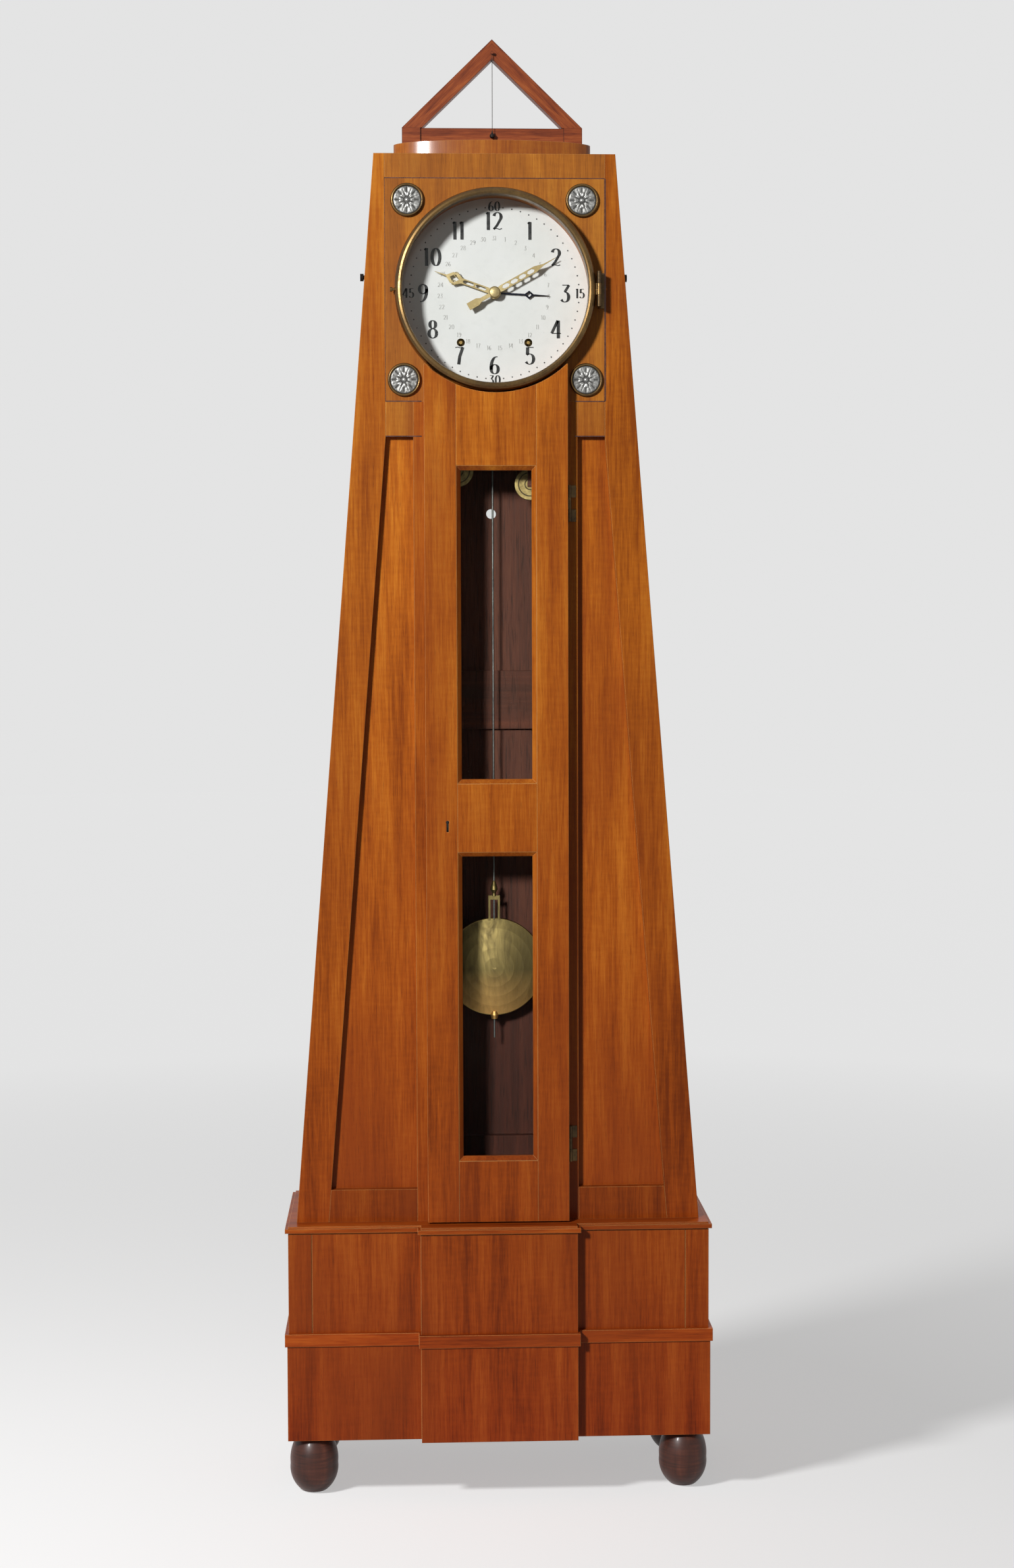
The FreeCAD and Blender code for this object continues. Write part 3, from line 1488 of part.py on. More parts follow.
def pulley(x, z):
    bore = axle_radius + run_gap
    return turned_back(x, z, [
        (bore, pulley_front),
        (pulley_radius, pulley_front),
        (pulley_radius, pulley_front + pulley_edge),
        (pulley_groove, line_depth - pulley_floor_half),
        (pulley_groove, line_depth + pulley_floor_half),
        (pulley_radius, pulley_back - pulley_edge),
        (pulley_radius, pulley_back),
        (bore, pulley_back),
    ])


pulley_places = {
    "going_inner_pulley": (-inner_x, left_pulley_z),
    "going_outer_pulley": (-outer_x, outer_pulley_z),
    "strike_inner_pulley": (inner_x, right_pulley_z),
    "strike_outer_pulley": (outer_x, outer_pulley_z),
}
for name, (x, z) in pulley_places.items():
    save(name, pulley(x, z))

# Seat board with slots for the great wheels and holes for the lines
seat_outline = both_sides([
    (trunk_half(seat_low) - side_thick, seat_low),
    (trunk_half(plate_low) - side_thick, plate_low),
])
seat = prism_back(seat_outline, seat_front, seat_back)
great_tip = (great_teeth / 2 + 1) * great_module
slot_half = math.sqrt(great_tip**2 - (barrel_z - plate_low) ** 2) + 2 * part_gap
slot_front = great_front - part_gap
slot_back = great_front + wheel_thick + part_gap
for side in (-1, 1):
    x = side * wind_x
    line_hole = rod_up(side * drum_line_x, line_depth, seat_line_hole, seat_low - over, plate_low + over)
    wheel_slot = box(x - slot_half, x + slot_half, slot_front, slot_back, seat_low - over, plate_low + over)
    seat = seat.cut(line_hole).cut(wheel_slot)
seat_pieces = [seat]
strap_back = pulley_front - strap_clear
for x, z in pulley_places.values():
    head = axle_radius + axle_head
    strap_face = strap_back - strap_thick
    seat_pieces.append(joined([
        box(x - strap_half, x + strap_half, strap_face, strap_back, z - strap_half, seat_low - fit_gap),
        rod_back(x, z, axle_radius, strap_face, pulley_back + strap_clear),
        rod_back(x, z, head, pulley_back + strap_clear / 2, pulley_back + 2 * strap_clear),
        rod_back(x, z, head, strap_face, pulley_front - strap_clear / 2),
    ]))
save("seat_board", seat_pieces)

# Weights and their lines
weight_top = outer_pulley_z - weight_drop
weight_low = weight_top - weight_length
weight_eye = weight_top + weight_hook_long


def weight(x):
    body = turned_up(x, line_depth, [
        (0, weight_low),
        (weight_radius - weight_edge, weight_low),
        (weight_radius, weight_low + weight_edge),
        (weight_radius, weight_top - weight_edge),
        (weight_radius - weight_edge, weight_top),
        (0, weight_top),
    ])
    return joined([body, rod_up(x, line_depth, weight_hook_radius, weight_top - over, weight_eye)])


def half_loop(x, z, turn):
    ring = Part.makeCircle(cord_radius, point(x - pulley_line, line_depth, z), FreeCAD.Vector(0, 0, 1))
    face = Part.Face(Part.Wire([ring]))
    return face.revolve(point(x, line_depth, z), FreeCAD.Vector(0, 1, 0), turn)


def weight_line(side, inner_z):
    return joined([
        rod_up(side * drum_line_x, line_depth, cord_radius, inner_z, barrel_z),
        half_loop(side * inner_x, inner_z, -180),
        rod_up(side * rise_x, line_depth, cord_radius, inner_z, outer_pulley_z),
        half_loop(side * outer_x, outer_pulley_z, 180),
        rod_up(side * drop_x, line_depth, cord_radius, weight_eye, outer_pulley_z),
    ])


save("going_weight", weight(-drop_x))
save("strike_weight", weight(drop_x))
save("going_line", weight_line(-1, left_pulley_z))
save("strike_line", weight_line(1, right_pulley_z))
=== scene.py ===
import math
import bpy
import bmesh
from mathutils import Matrix, Vector


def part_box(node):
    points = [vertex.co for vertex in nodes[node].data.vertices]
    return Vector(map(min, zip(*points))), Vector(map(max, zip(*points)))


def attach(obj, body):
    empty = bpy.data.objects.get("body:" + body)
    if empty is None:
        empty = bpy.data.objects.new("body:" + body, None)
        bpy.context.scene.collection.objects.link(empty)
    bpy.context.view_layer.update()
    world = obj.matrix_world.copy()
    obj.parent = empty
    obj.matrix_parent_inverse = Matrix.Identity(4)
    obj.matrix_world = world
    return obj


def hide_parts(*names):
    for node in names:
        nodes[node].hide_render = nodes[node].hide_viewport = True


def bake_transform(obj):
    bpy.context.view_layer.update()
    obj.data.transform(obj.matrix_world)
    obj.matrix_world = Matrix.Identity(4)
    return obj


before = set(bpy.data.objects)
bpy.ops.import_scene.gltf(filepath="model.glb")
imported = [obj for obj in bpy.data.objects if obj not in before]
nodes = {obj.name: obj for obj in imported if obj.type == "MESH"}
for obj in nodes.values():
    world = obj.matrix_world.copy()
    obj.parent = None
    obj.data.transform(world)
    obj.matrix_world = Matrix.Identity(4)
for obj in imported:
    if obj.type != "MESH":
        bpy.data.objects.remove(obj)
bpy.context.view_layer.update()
print("clock: frame loaded,", len(nodes), "nodes")


def boxOf(node):
    low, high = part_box(node)
    return Vector(low), Vector(high)


def centreOf(node):
    low, high = boxOf(node)
    return (low + high) / 2


# Shader wiring: sums on sockets become Math nodes
class Wire:
    def __init__(self, tree, socket=None):
        self.tree = tree
        self.socket = socket

    def node(self, kind, settings, inputs, output=0):
        made = self.tree.nodes.new(kind)
        for key, value in settings.items():
            if key == "stops":
                ramp = made.color_ramp
                while len(ramp.elements) < len(value):
                    ramp.elements.new(0.5)
                for element, (place, colour) in zip(ramp.elements, value):
                    element.position = place
                    element.color = (*colour, 1.0)
            else:
                setattr(made, key, value)
        for key, value in inputs.items():
            socket = made.inputs[key]
            if isinstance(value, Wire):
                self.tree.links.new(value.socket, socket)
            else:
                socket.default_value = (*value, 1.0) if socket.type == "RGBA" else value
        return Wire(self.tree, made.outputs[output] if made.outputs else None)

    def maths(self, operation, first, second=0.0):
        return self.node("ShaderNodeMath", {"operation": operation}, {0: first, 1: second})

    def __add__(self, other):
        return self.maths("ADD", self, other)

    def __radd__(self, other):
        return self.maths("ADD", other, self)

    def __sub__(self, other):
        return self.maths("SUBTRACT", self, other)

    def __rsub__(self, other):
        return self.maths("SUBTRACT", other, self)

    def __mul__(self, other):
        return self.maths("MULTIPLY", self, other)

    def __rmul__(self, other):
        return self.maths("MULTIPLY", other, self)

    def vector(self, operation, inputs, output="Value"):
        return self.node("ShaderNodeVectorMath", {"operation": operation}, {0: self, **inputs}, output)

    def axis(self, letter):
        return self.node("ShaderNodeSeparateXYZ", {}, {0: self}, letter)

    def noise(self, scale, detail=3.0, roughness=0.55, distortion=0.0):
        values = {"Scale": scale, "Detail": detail, "Roughness": roughness, "Distortion": distortion}
        return self.node("ShaderNodeTexNoise", {}, {"Vector": self, **values})

    def stretch(self, scale, shift=(0.0, 0.0, 0.0)):
        return self.node("ShaderNodeMapping", {}, {"Vector": self, "Location": shift, "Scale": scale})

    def ramp(self, stops):
        return self.node("ShaderNodeValToRGB", {"stops": stops}, {0: self})

    def between(self, low, high):
        return self.node("ShaderNodeMapRange", {}, {"Value": self, "From Min": low, "From Max": high})

    def band(self, low, high, blur):
        return self.between(low, low + blur) - self.between(high, high + blur)

    def mixed(self, first, second, blend="MIX"):
        settings = {"data_type": "RGBA", "blend_type": blend}
        return self.node("ShaderNodeMix", settings, {"Factor": self, 6: first, 7: second}, 2)

    def bump(self, strength, distance, normal=None):
        values = {"Height": self, "Strength": strength, "Distance": distance}
        if normal:
            values["Normal"] = normal
        return self.node("ShaderNodeBump", {}, values)


def grey(level):
    return (level, level, level)


def startFinish(name):
    material = bpy.data.materials.new(name)
    material.use_nodes = True
    material.node_tree.nodes.clear()
    wire = Wire(material.node_tree)
    place = wire.node("ShaderNodeTexCoord", {}, {}, "Object")
    return material, wire, place


def endFinish(wire, values):
    shader = wire.node("ShaderNodeBsdfPrincipled", {}, values)
    wire.node("ShaderNodeOutputMaterial", {}, {"Surface": shader})


def softEdge(wire, radius):
    return wire.node("ShaderNodeBevel", {"samples": 4}, {"Radius": radius})


def rubbedEdge(wire, bevel, fade):
    facing = wire.node("ShaderNodeNewGeometry", {}, {}, "Normal")
    return (1 - bevel.vector("DOT_PRODUCT", {1: facing})).between(0.01, fade)


def grainScale(grain, along):
    return (1.0, 1.0, along) if grain == "up" else (along, 1.0, 1.0)


def threeTones(tone, dark, middle, light, half=0.5):
    return tone.ramp([(0.0, dark), (half, middle), (1.0, light)])


# Cherry veneer: long streaks along the grain, a slow flame, open pores and a polished coat.
# It is golden at the top of the case and darker and redder towards the foot; the change in lightness is
# painted light and shade, falling off downwards from a lamp above, and the redder foot is the wood's own.
cherry = {
    "dark": (0.240, 0.053, 0.0040),
    "middle": (0.432, 0.120, 0.0085),
    "light": (0.610, 0.215, 0.0190),
    "footDark": (0.112, 0.0132, 0.0026),
    "footMiddle": (0.242, 0.0310, 0.0042),
    "footLight": (0.340, 0.0580, 0.0085),
    "footHeight": 0.06,
    "topHeight": 1.44,
    "red": (0.215, 0.038, 0.0060),
    "redShare": 0.62,
    # painted sheen at the top of a board, with a yellower tone of the wood: its colour and the heights it
    # blends over
    "paleAndSheen": (0.400, 0.222, 0.0700),
    "paleAndSheenHeights": (1.30, 1.55),
    "pore": (0.050, 0.012, 0.0040),
    "poreShare": 0.35,
    "poreDepth": 0.00012,
    # lighter colour painted on the edges: partly real wear, partly a painted highlight where the edges catch
    # the light
    "worn": (0.780, 0.430, 0.1500),
    "edge": 0.0012,
    "edgeFade": 0.22,
    "streaks": 44.0,
    "along": 0.045,
    "flameAlong": 0.22,
    "coat": 0.05,
    "knob": (0.010, 0.008, 0.007),
    "knobReach": 0.0068,
    "knobBlur": 0.0004,
    "knobHeight": 1.634,
    "knobHalf": 0.006,
    "knobTip": 0.0005,
}


def cherryFinish(name, grain, shift, lightness, redness, coat=cherry["coat"], knob=None, paleAndSheen=0.0):
    material, wire, place = startFinish(name)
    fibres = place.stretch(grainScale(grain, cherry["along"]), shift)
    streak = fibres.noise(cherry["streaks"], 5.0, 0.62, 0.35)
    fine = fibres.noise(cherry["streaks"] * 9.0, 4.0, 0.7)
    flame = place.stretch(grainScale(grain, cherry["flameAlong"]), shift).noise(9.0, 2.0, 0.5, 1.2)
    cloud = place.noise(3.1, 2.0, 0.5)
    red = place.stretch((1.0, 1.0, 0.3), shift).noise(5.2, 3.0, 0.55, 0.6).between(0.42, 0.68)
    ripple = place.stretch((0.22, 0.22, 1.0), shift).noise(190.0, 2.0, 0.5).between(0.35, 0.68)
    pores = fibres.noise(cherry["streaks"] * 30.0, 2.0, 0.5).between(0.60, 0.74)
    tone = 0.38 * streak + 0.31 * fine + 0.19 * flame + 0.10 * cloud + 0.02 * ripple
    tone = tone.between(0.395, 0.605)
    upper = threeTones(tone, cherry["dark"], cherry["middle"], cherry["light"])
    # painted shade: the foot tones are darker, standing for light that falls off downwards; their redness is
    # the wood's own
    footShadeAndRed = threeTones(tone, cherry["footDark"], cherry["footMiddle"], cherry["footLight"])
    height = place.axis("Z")
    colour = height.between(cherry["footHeight"], cherry["topHeight"]).mixed(footShadeAndRed, upper)
    colour = (red * cherry["redShare"] + redness).mixed(colour, cherry["red"])
    # painted sheen: the top of the board is painted paler and yellower, partly the wood's own yellower tone
    if paleAndSheen:
        colour = (height.between(*cherry["paleAndSheenHeights"]) * paleAndSheen).mixed(colour, cherry["paleAndSheen"])
    colour = (pores * cherry["poreShare"]).mixed(colour, cherry["pore"])
    bevel = softEdge(wire, cherry["edge"])
    # edges painted lighter: partly real wear, partly a painted highlight where the edges catch the light
    worn = rubbedEdge(wire, bevel, cherry["edgeFade"])
    colour = (worn * (0.30 + 0.5 * streak)).mixed(colour, cherry["worn"])
    colour = wire.node("ShaderNodeHueSaturation", {}, {"Value": lightness, "Color": colour})
    if knob:
        away = place.vector("DISTANCE", {1: knob})
        outside = away.between(cherry["knobReach"], cherry["knobReach"] + cherry["knobBlur"])
        colour = outside.mixed(cherry["knob"], colour)
    relief = (1 - pores) * 0.7 + fine * 0.3
    endFinish(wire, {
        "Base Color": colour,
        "Roughness": 0.30 + 0.14 * fine + 0.10 * pores,
        "Coat Weight": coat,
        "Coat Roughness": 0.16,
        "Specular IOR Level": 0.09,
        "Normal": relief.bump(0.22, cherry["poreDepth"], bevel),
    })
    return material


# The level on top is of a darker, redder wood, with its grain along each rafter, and darker along every edge
redwood = {
    "dark": (0.110, 0.0180, 0.0045),
    "middle": (0.225, 0.0460, 0.0110),
    "light": (0.340, 0.0860, 0.0200),
    # colour of the darker edges
    "worn": (0.030, 0.0060, 0.0025),
    "darkEdgeShare": 0.8,
    "edge": 0.0022,
    "edgeFade": 0.16,
    "postTall": 0.0225,
    "blur": 0.0002,
    "along": 0.07,
    "streaks": 150.0,
    "fine": 620.0,
}


def redFinish():
    material, wire, place = startFinish("cherry_level")
    height = place.axis("Z")
    outward = wire.maths("ABSOLUTE", place.axis("X"))
    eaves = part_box("level_frame")[0][2] + redwood["postTall"]
    sloped = height.between(eaves - redwood["blur"], eaves + redwood["blur"])
    over = height + outward * sloped
    along = (outward - height * sloped) * redwood["along"]
    fibres = wire.node("ShaderNodeCombineXYZ", {}, {0: over, 1: place.axis("Y"), 2: along})
    streak = fibres.noise(redwood["streaks"], 5.0, 0.62, 0.3)
    fine = fibres.noise(redwood["fine"], 3.0, 0.7)
    tone = (0.65 * streak + 0.35 * fine).between(0.36, 0.64)
    colour = threeTones(tone, redwood["dark"], redwood["middle"], redwood["light"])
    # darker colour along every edge of the frame
    worn = rubbedEdge(wire, softEdge(wire, redwood["edge"]), redwood["edgeFade"])
    endFinish(wire, {
        "Base Color": (worn * redwood["darkEdgeShare"]).mixed(colour, redwood["worn"]),
        "Roughness": 0.34 + 0.14 * fine,
        "Coat Weight": 0.12,
        "Coat Roughness": 0.18,
        "Specular IOR Level": 0.2,
        "Normal": fine.bump(0.2, 0.0002),
    })
    return material


# Oak behind the glass: a redder rail across it, and painted shade that darkens it towards the foot
oak = {
    "dark": (0.075, 0.0260, 0.0140),
    "middle": (0.142, 0.0440, 0.0235),
    "light": (0.205, 0.0710, 0.0385),
    "pore": (0.012, 0.0060, 0.0040),
    "poreShare": 0.55,
    "streaks": 34.0,
    "along": 0.04,
    "rail": (0.200, 0.0540, 0.0250),
    "railLow": 1.025,
    "railHigh": 1.107,
    "railBlur": 0.0004,
    "shade": (0.56, 0.43, 0.40),
    "shadeHeight": 1.05,
    "shadeFoot": 0.55,
    "edge": 0.001,
}


def oakFinish(name, grain):
    material, wire, place = startFinish(name)
    fibres = place.stretch(grainScale(grain, oak["along"]))
    streak = fibres.noise(oak["streaks"], 5.0, 0.6, 0.3)
    fine = fibres.noise(oak["streaks"] * 8.0, 3.0, 0.7)
    pores = fibres.noise(oak["streaks"] * 22.0, 2.0, 0.5).between(0.56, 0.70)
    tone = (0.6 * streak + 0.4 * fine).between(0.36, 0.66)
    colour = threeTones(tone, oak["dark"], oak["middle"], oak["light"])
    crossing = place.stretch(grainScale("across", oak["along"])).noise(oak["streaks"] * 2.0, 5.0, 0.6, 0.3)
    railColour = crossing.between(0.3, 0.7).mixed(oak["dark"], oak["rail"])
    height = place.axis("Z")
    colour = height.band(oak["railLow"], oak["railHigh"], oak["railBlur"]).mixed(colour, railColour)
    # painted shade: the colour is multiplied darker downwards, in full at the foot of the range
    low = 1 - height.between(oak["shadeFoot"], oak["shadeHeight"])
    colour = low.mixed(colour, oak["shade"], "MULTIPLY")
    endFinish(wire, {
        "Base Color": (pores * oak["poreShare"]).mixed(colour, oak["pore"]),
        "Roughness": 0.55 + 0.2 * fine,
        "Specular IOR Level": 0.3,
        "Normal": (1 - pores).bump(0.35, 0.0002, softEdge(wire, oak["edge"])),
    })
    return material


ebonised = {
    "dark": (0.024, 0.0080, 0.0050),
    "middle": (0.066, 0.0185, 0.0105),
    "light": (0.120, 0.0360, 0.0190),
    "rings": 22.0,
    "ringStretch": 14.0,
    "grain": 60.0,
    "along": 0.08,
}


def ebonisedFinish():
    material, wire, place = startFinish("ebonised_turning")
    rings = place.stretch(grainScale("up", ebonised["ringStretch"])).noise(ebonised["rings"], 4.0, 0.6)
    grain = place.stretch(grainScale("up", ebonised["along"])).noise(ebonised["grain"], 4.0, 0.65)
    tone = (0.55 * grain + 0.45 * rings).between(0.35, 0.68)
    endFinish(wire, {
        "Base Color": threeTones(tone, ebonised["dark"], ebonised["middle"], ebonised["light"], 0.6),
        "Roughness": 0.34 + 0.16 * grain,
        "Specular IOR Level": 0.3,
        "Coat Weight": 0.12,
        "Coat Roughness": 0.14,
        "Normal": (0.6 * rings + 0.4 * grain).bump(0.12, 0.0004),
    })
    return material


# Metals: bright colour, dull colour, tarnish that gathers in patches, roughness
metals = {
    "brass": ((0.50, 0.335, 0.115), (0.175, 0.105, 0.038), 0.55, 0.30),
    "bezel_brass": ((0.185, 0.112, 0.042), (0.060, 0.036, 0.016), 0.54, 0.25),
    "gilt": ((0.70, 0.57, 0.30), (0.38, 0.29, 0.135), 0.42, 0.36),
    "bell_metal": ((0.58, 0.45, 0.21), (0.25, 0.18, 0.08), 0.45, 0.26),
    "steel": ((0.50, 0.50, 0.50), (0.20, 0.19, 0.18), 0.40, 0.28),
    "rod_steel": ((0.28, 0.285, 0.27), (0.12, 0.12, 0.115), 0.45, 0.34),
    "hinge_iron": ((0.115, 0.072, 0.030), (0.040, 0.026, 0.014), 0.50, 0.40),
    "iron": ((0.035, 0.030, 0.028), (0.014, 0.011, 0.010), 0.50, 0.45),
    "blued": ((0.022, 0.026, 0.048), (0.008, 0.009, 0.015), 0.40, 0.26),
}
metalEdge = 0.0005


def metalFinish(name):
    bright, dull, tarnish, rough = metals[name]
    material, wire, place = startFinish(name)
    patch = place.noise(24.0, 4.0, 0.6)
    spots = place.noise(310.0, 3.0, 0.6)
    brushing = place.stretch(grainScale("up", 0.06)).noise(900.0, 2.0, 0.6)
    worn = (0.65 * patch + 0.35 * spots).between(tarnish - 0.16, tarnish + 0.14)
    endFinish(wire, {
        "Base Color": worn.mixed(bright, dull),
        "Metallic": 1.0 - 0.18 * worn,
        "Roughness": rough + 0.16 * worn + 0.06 * brushing,
        "Normal": (0.5 * spots + 0.5 * brushing).bump(0.10, 0.00008, softEdge(wire, metalEdge)),
    })
    return material


# The bob is rubbed in long swirls, and a painted reflection of the wood below makes it warmer near its foot
bobLook = {
    "bright": (0.250, 0.185, 0.070),
    "dull": (0.118, 0.084, 0.032),
    "paintedWoodReflection": (0.940, 0.530, 0.175),
    "woodReflectionTall": 0.070,
    "rough": 0.44,
}


def bobFinish():
    material, wire, place = startFinish("bob_swirl")
    swirl = place.stretch((1.0, 1.0, 0.22), (0.3, 0.0, 0.1)).noise(30.0, 4.0, 0.6, 2.2)
    fine = place.stretch((1.0, 1.0, 0.1)).noise(260.0, 3.0, 0.6)
    worn = (0.75 * swirl + 0.25 * fine).between(0.38, 0.62)
    colour = worn.mixed(bobLook["bright"], bobLook["dull"])
    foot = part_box("pendulum_bob")[0][2]
    # painted reflection: the bob's foot takes a warm orange colour standing for the wood it reflects
    woodReflectionShare = (1 - place.axis("Z").between(foot, foot + bobLook["woodReflectionTall"])) * (1 - 0.3 * worn)
    endFinish(wire, {
        "Base Color": woodReflectionShare.mixed(colour, bobLook["paintedWoodReflection"]),
        "Metallic": 1.0 - 0.18 * worn,
        "Roughness": bobLook["rough"] + 0.12 * worn,
        "Normal": fine.bump(0.06, 0.00006, softEdge(wire, metalEdge)),
    })
    return material


# Pulleys are darker in two turned rings
pulleyLook = {
    "bright": (0.255, 0.192, 0.078),
    "dull": (0.120, 0.086, 0.036),
    "rough": 0.42,
    "rings": ((0.0062, 0.0076), (0.0148, 0.0164)),
    "blur": 0.0004,
    "dirt": (0.030, 0.020, 0.010),
    "share": 0.8,
}


def pulleyFinish(node):
    material, wire, place = startFinish("brass_" + node)
    offset = place.vector("SUBTRACT", {1: tuple(centreOf(node))}, "Vector")
    away = offset.stretch((1.0, 0.0, 1.0)).vector("LENGTH", {})
    patch = place.noise(120.0, 4.0, 0.6).between(0.36, 0.66)
    rings = [away.band(inner, outer, pulleyLook["blur"]) for inner, outer in pulleyLook["rings"]]
    dirt = sum(rings[1:], rings[0])
    colour = patch.mixed(pulleyLook["bright"], pulleyLook["dull"])
    endFinish(wire, {
        "Base Color": (dirt * pulleyLook["share"]).mixed(colour, pulleyLook["dirt"]),
        "Metallic": 1.0 - 0.3 * dirt,
        "Roughness": pulleyLook["rough"] + 0.2 * dirt,
        "Normal": patch.bump(0.08, 0.0001, softEdge(wire, metalEdge)),
    })
    return material


enamel = {
    "cool": (0.83, 0.835, 0.815),
    "white": (0.88, 0.88, 0.87),
    "speck": (0.42, 0.38, 0.32),
    "speckShare": 0.25,
}


def enamelFinish():
    material, wire, place = startFinish("enamel")
    cloud = place.noise(14.0, 3.0, 0.5)
    specks = place.noise(420.0, 2.0, 0.5).between(0.70, 0.78)
    colour = cloud.ramp([(0.35, enamel["cool"]), (0.65, enamel["white"])])
    endFinish(wire, {
        "Base Color": (specks * enamel["speckShare"]).mixed(colour, enamel["speck"]),
        "Roughness": 0.20 + 0.10 * cloud,
        "Coat Weight": 0.4,
        "Coat Roughness": 0.08,
        "Normal": cloud.bump(0.06, 0.0006),
    })
    return material


def inkFinish(name, dark, worn):
    material, wire, place = startFinish(name)
    wear = place.noise(160.0, 4.0, 0.65).between(0.40, 0.72)
    endFinish(wire, {
        "Base Color": wear.mixed(dark, worn),
        "Roughness": 0.30 + 0.25 * wear,
        "Normal": wear.bump(0.05, 0.0001),
    })
    return material


glass = {
    "doorTint": (0.97, 0.98, 0.97),
    "dialTint": (0.98, 0.985, 0.98),
    "gloss": (0.010, 0.011, 0.011),
    "edgeBlend": 0.12,
    "edgeShare": 0.55,
    "dustShare": 0.03,
    "sheen": 0.012,
}


def glassFinish(name, tint):
    material, wire, place = startFinish(name)
    ripple = place.stretch((1.0, 1.0, 0.35)).noise(7.0, 2.0, 0.5)
    dust = place.noise(95.0, 4.0, 0.65).between(0.52, 0.85)
    clear = wire.node("ShaderNodeBsdfTransparent", {}, {"Color": tint})
    gloss = wire.node("ShaderNodeBsdfPrincipled", {}, {
        "Base Color": glass["gloss"],
        "Roughness": 0.03 + 0.10 * dust,
        "Specular IOR Level": 0.5,
        "Normal": ripple.bump(0.10, 0.002),
    })
    edge = wire.node("ShaderNodeLayerWeight", {}, {"Blend": glass["edgeBlend"]})
    share = edge * glass["edgeShare"] + dust * glass["dustShare"] + glass["sheen"]
    pane = wire.node("ShaderNodeMixShader", {}, {0: share, 1: clear, 2: gloss})
    wire.node("ShaderNodeOutputMaterial", {}, {"Surface": pane})
    return material


def cordFinish(name, dark, light):
    material, wire, place = startFinish(name)
    fibre = place.stretch((1.0, 1.0, 0.3)).noise(1400.0, 3.0, 0.7)
    soil = place.noise(60.0, 3.0, 0.6)
    tone = (0.6 * fibre + 0.4 * soil).between(0.36, 0.66)
    endFinish(wire, {
        "Base Color": tone.mixed(dark, light),
        "Roughness": 0.75 + 0.15 * fibre,
        "Normal": fibre.bump(0.3, 0.0002),
    })
    return material


def dress(node, material):
    data = nodes[node].data
    data.materials.clear()
    data.materials.append(material)


def knobTip(node):
    corners = [corner.co for corner in nodes[node].data.vertices]
    corners = [corner for corner in corners if abs(corner.z - cherry["knobHeight"]) < cherry["knobHalf"]]
    reach = max(abs(corner.x) for corner in corners)
    tips = [corner for corner in corners if abs(corner.x) > reach - cherry["knobTip"]]
    return sum(tips, Vector()) / len(tips)


# Boards of cherry: lightness, redness and the share of painted sheen, paler and yellower, at the top of the
# board
upright = {
    "trunk_sides": (0.98, 0.05, 0.0),
    "front_stiles": (1.0, 0.03, 0.0),
    "door_jambs": (1.0, 0.10, 0.0),
    "field_panels": (1.12, 0.10, 0.0),
    "dial_board": (0.85, 0.05, 0.20),
    "door_stiles": (1.06, 0.02, 0.0),
    "plinth_front": (1.0, 0.04, 0.0),
    "plinth_carcass": (0.92, 0.04, 0.0),
    "front_rails": (0.87, 0.0, 0.20),
    "door_rails": (1.05, 0.12, 0.0),
    "door_beads": (1.0, 0.20, 0.0),
}
levelBoards = {"ledge_moulding": (1.12, 0.0), "band_moulding": (1.20, 0.0), "top_board": (0.9, 0.1)}
oval = {"shift": (0.9, 0.2, 0.4), "lightness": 0.80, "redness": 0.0, "coat": 0.45}
sideDoor = {"lightness": 0.98, "redness": 0.05}
for count, (node, (lightness, redness, paleAndSheen)) in enumerate(upright.items()):
    shift = (0.37 * count, 0.61 * count, 0.83 * count)
    dress(node, cherryFinish("cherry_" + node, "up", shift, lightness, redness, paleAndSheen=paleAndSheen))
for count, (node, (lightness, redness)) in enumerate(levelBoards.items()):
    shift = (0.53 * count, 0.29 * count, 0.71 * count)
    dress(node, cherryFinish("cherry_" + node, "across", shift, lightness, redness))
dress("oval_plinth", cherryFinish(
    "cherry_oval", "up", oval["shift"], oval["lightness"], oval["redness"], oval["coat"],
))
for side, node in ((-1, "side_door_left"), (1, "side_door_right")):
    dress(node, cherryFinish(
        "cherry_" + node, "up", (0.7 * side, 0.3, 0.5), sideDoor["lightness"], sideDoor["redness"],
        knob=tuple(knobTip(node)),
    ))

brass = metalFinish("brass")
gilt = metalFinish("gilt")
bezelBrass = metalFinish("bezel_brass")
dressed = (
    (redFinish(), ("level_frame",)),
    (ebonisedFinish(), ("ball_feet",)),
    (oakFinish("oak_back", "up"), ("back_board",)),
    (oakFinish("oak_seat", "across"), ("seat_board",)),
    (enamelFinish(), ("dial_plate",)),
    (glassFinish("door_pane", glass["doorTint"]), ("door_glass",)),
    (glassFinish("dial_pane", glass["dialTint"]), ("bezel_glass",)),
    (bezelBrass, ("bezel_ring",)),
    (bobFinish(), ("pendulum_bob",)),
    (gilt, ("minute_hand", "hour_hand")),
    (metalFinish("blued"), ("date_hand",)),
    (metalFinish("bell_metal"), ("bell",)),
    (metalFinish("iron"), ("plumb_bob",)),
    (metalFinish("rod_steel"), ("pendulum_rod",)),
    (metalFinish("hinge_iron"), ("hinge_leaves_case", "hinge_leaves_door")),
    (metalFinish("steel"), ("anchor", "hammer", "door_lock", "lock_bolt")),
    (brass, (
        "movement_frame", "centre_wheel", "minute_wheel", "second_wheel", "third_wheel", "escape_wheel",
        "going_great_wheel", "going_barrel", "going_weight", "pin_wheel", "fly",
        "strike_great_wheel", "strike_barrel", "strike_weight",
    )),
)
for material, names in dressed:
    for node in names:
        dress(node, material)
for train in ("going", "strike"):
    for pulley in (train + "_inner_pulley", train + "_outer_pulley"):
        dress(pulley, pulleyFinish(pulley))
print("clock: finishes on the solids")


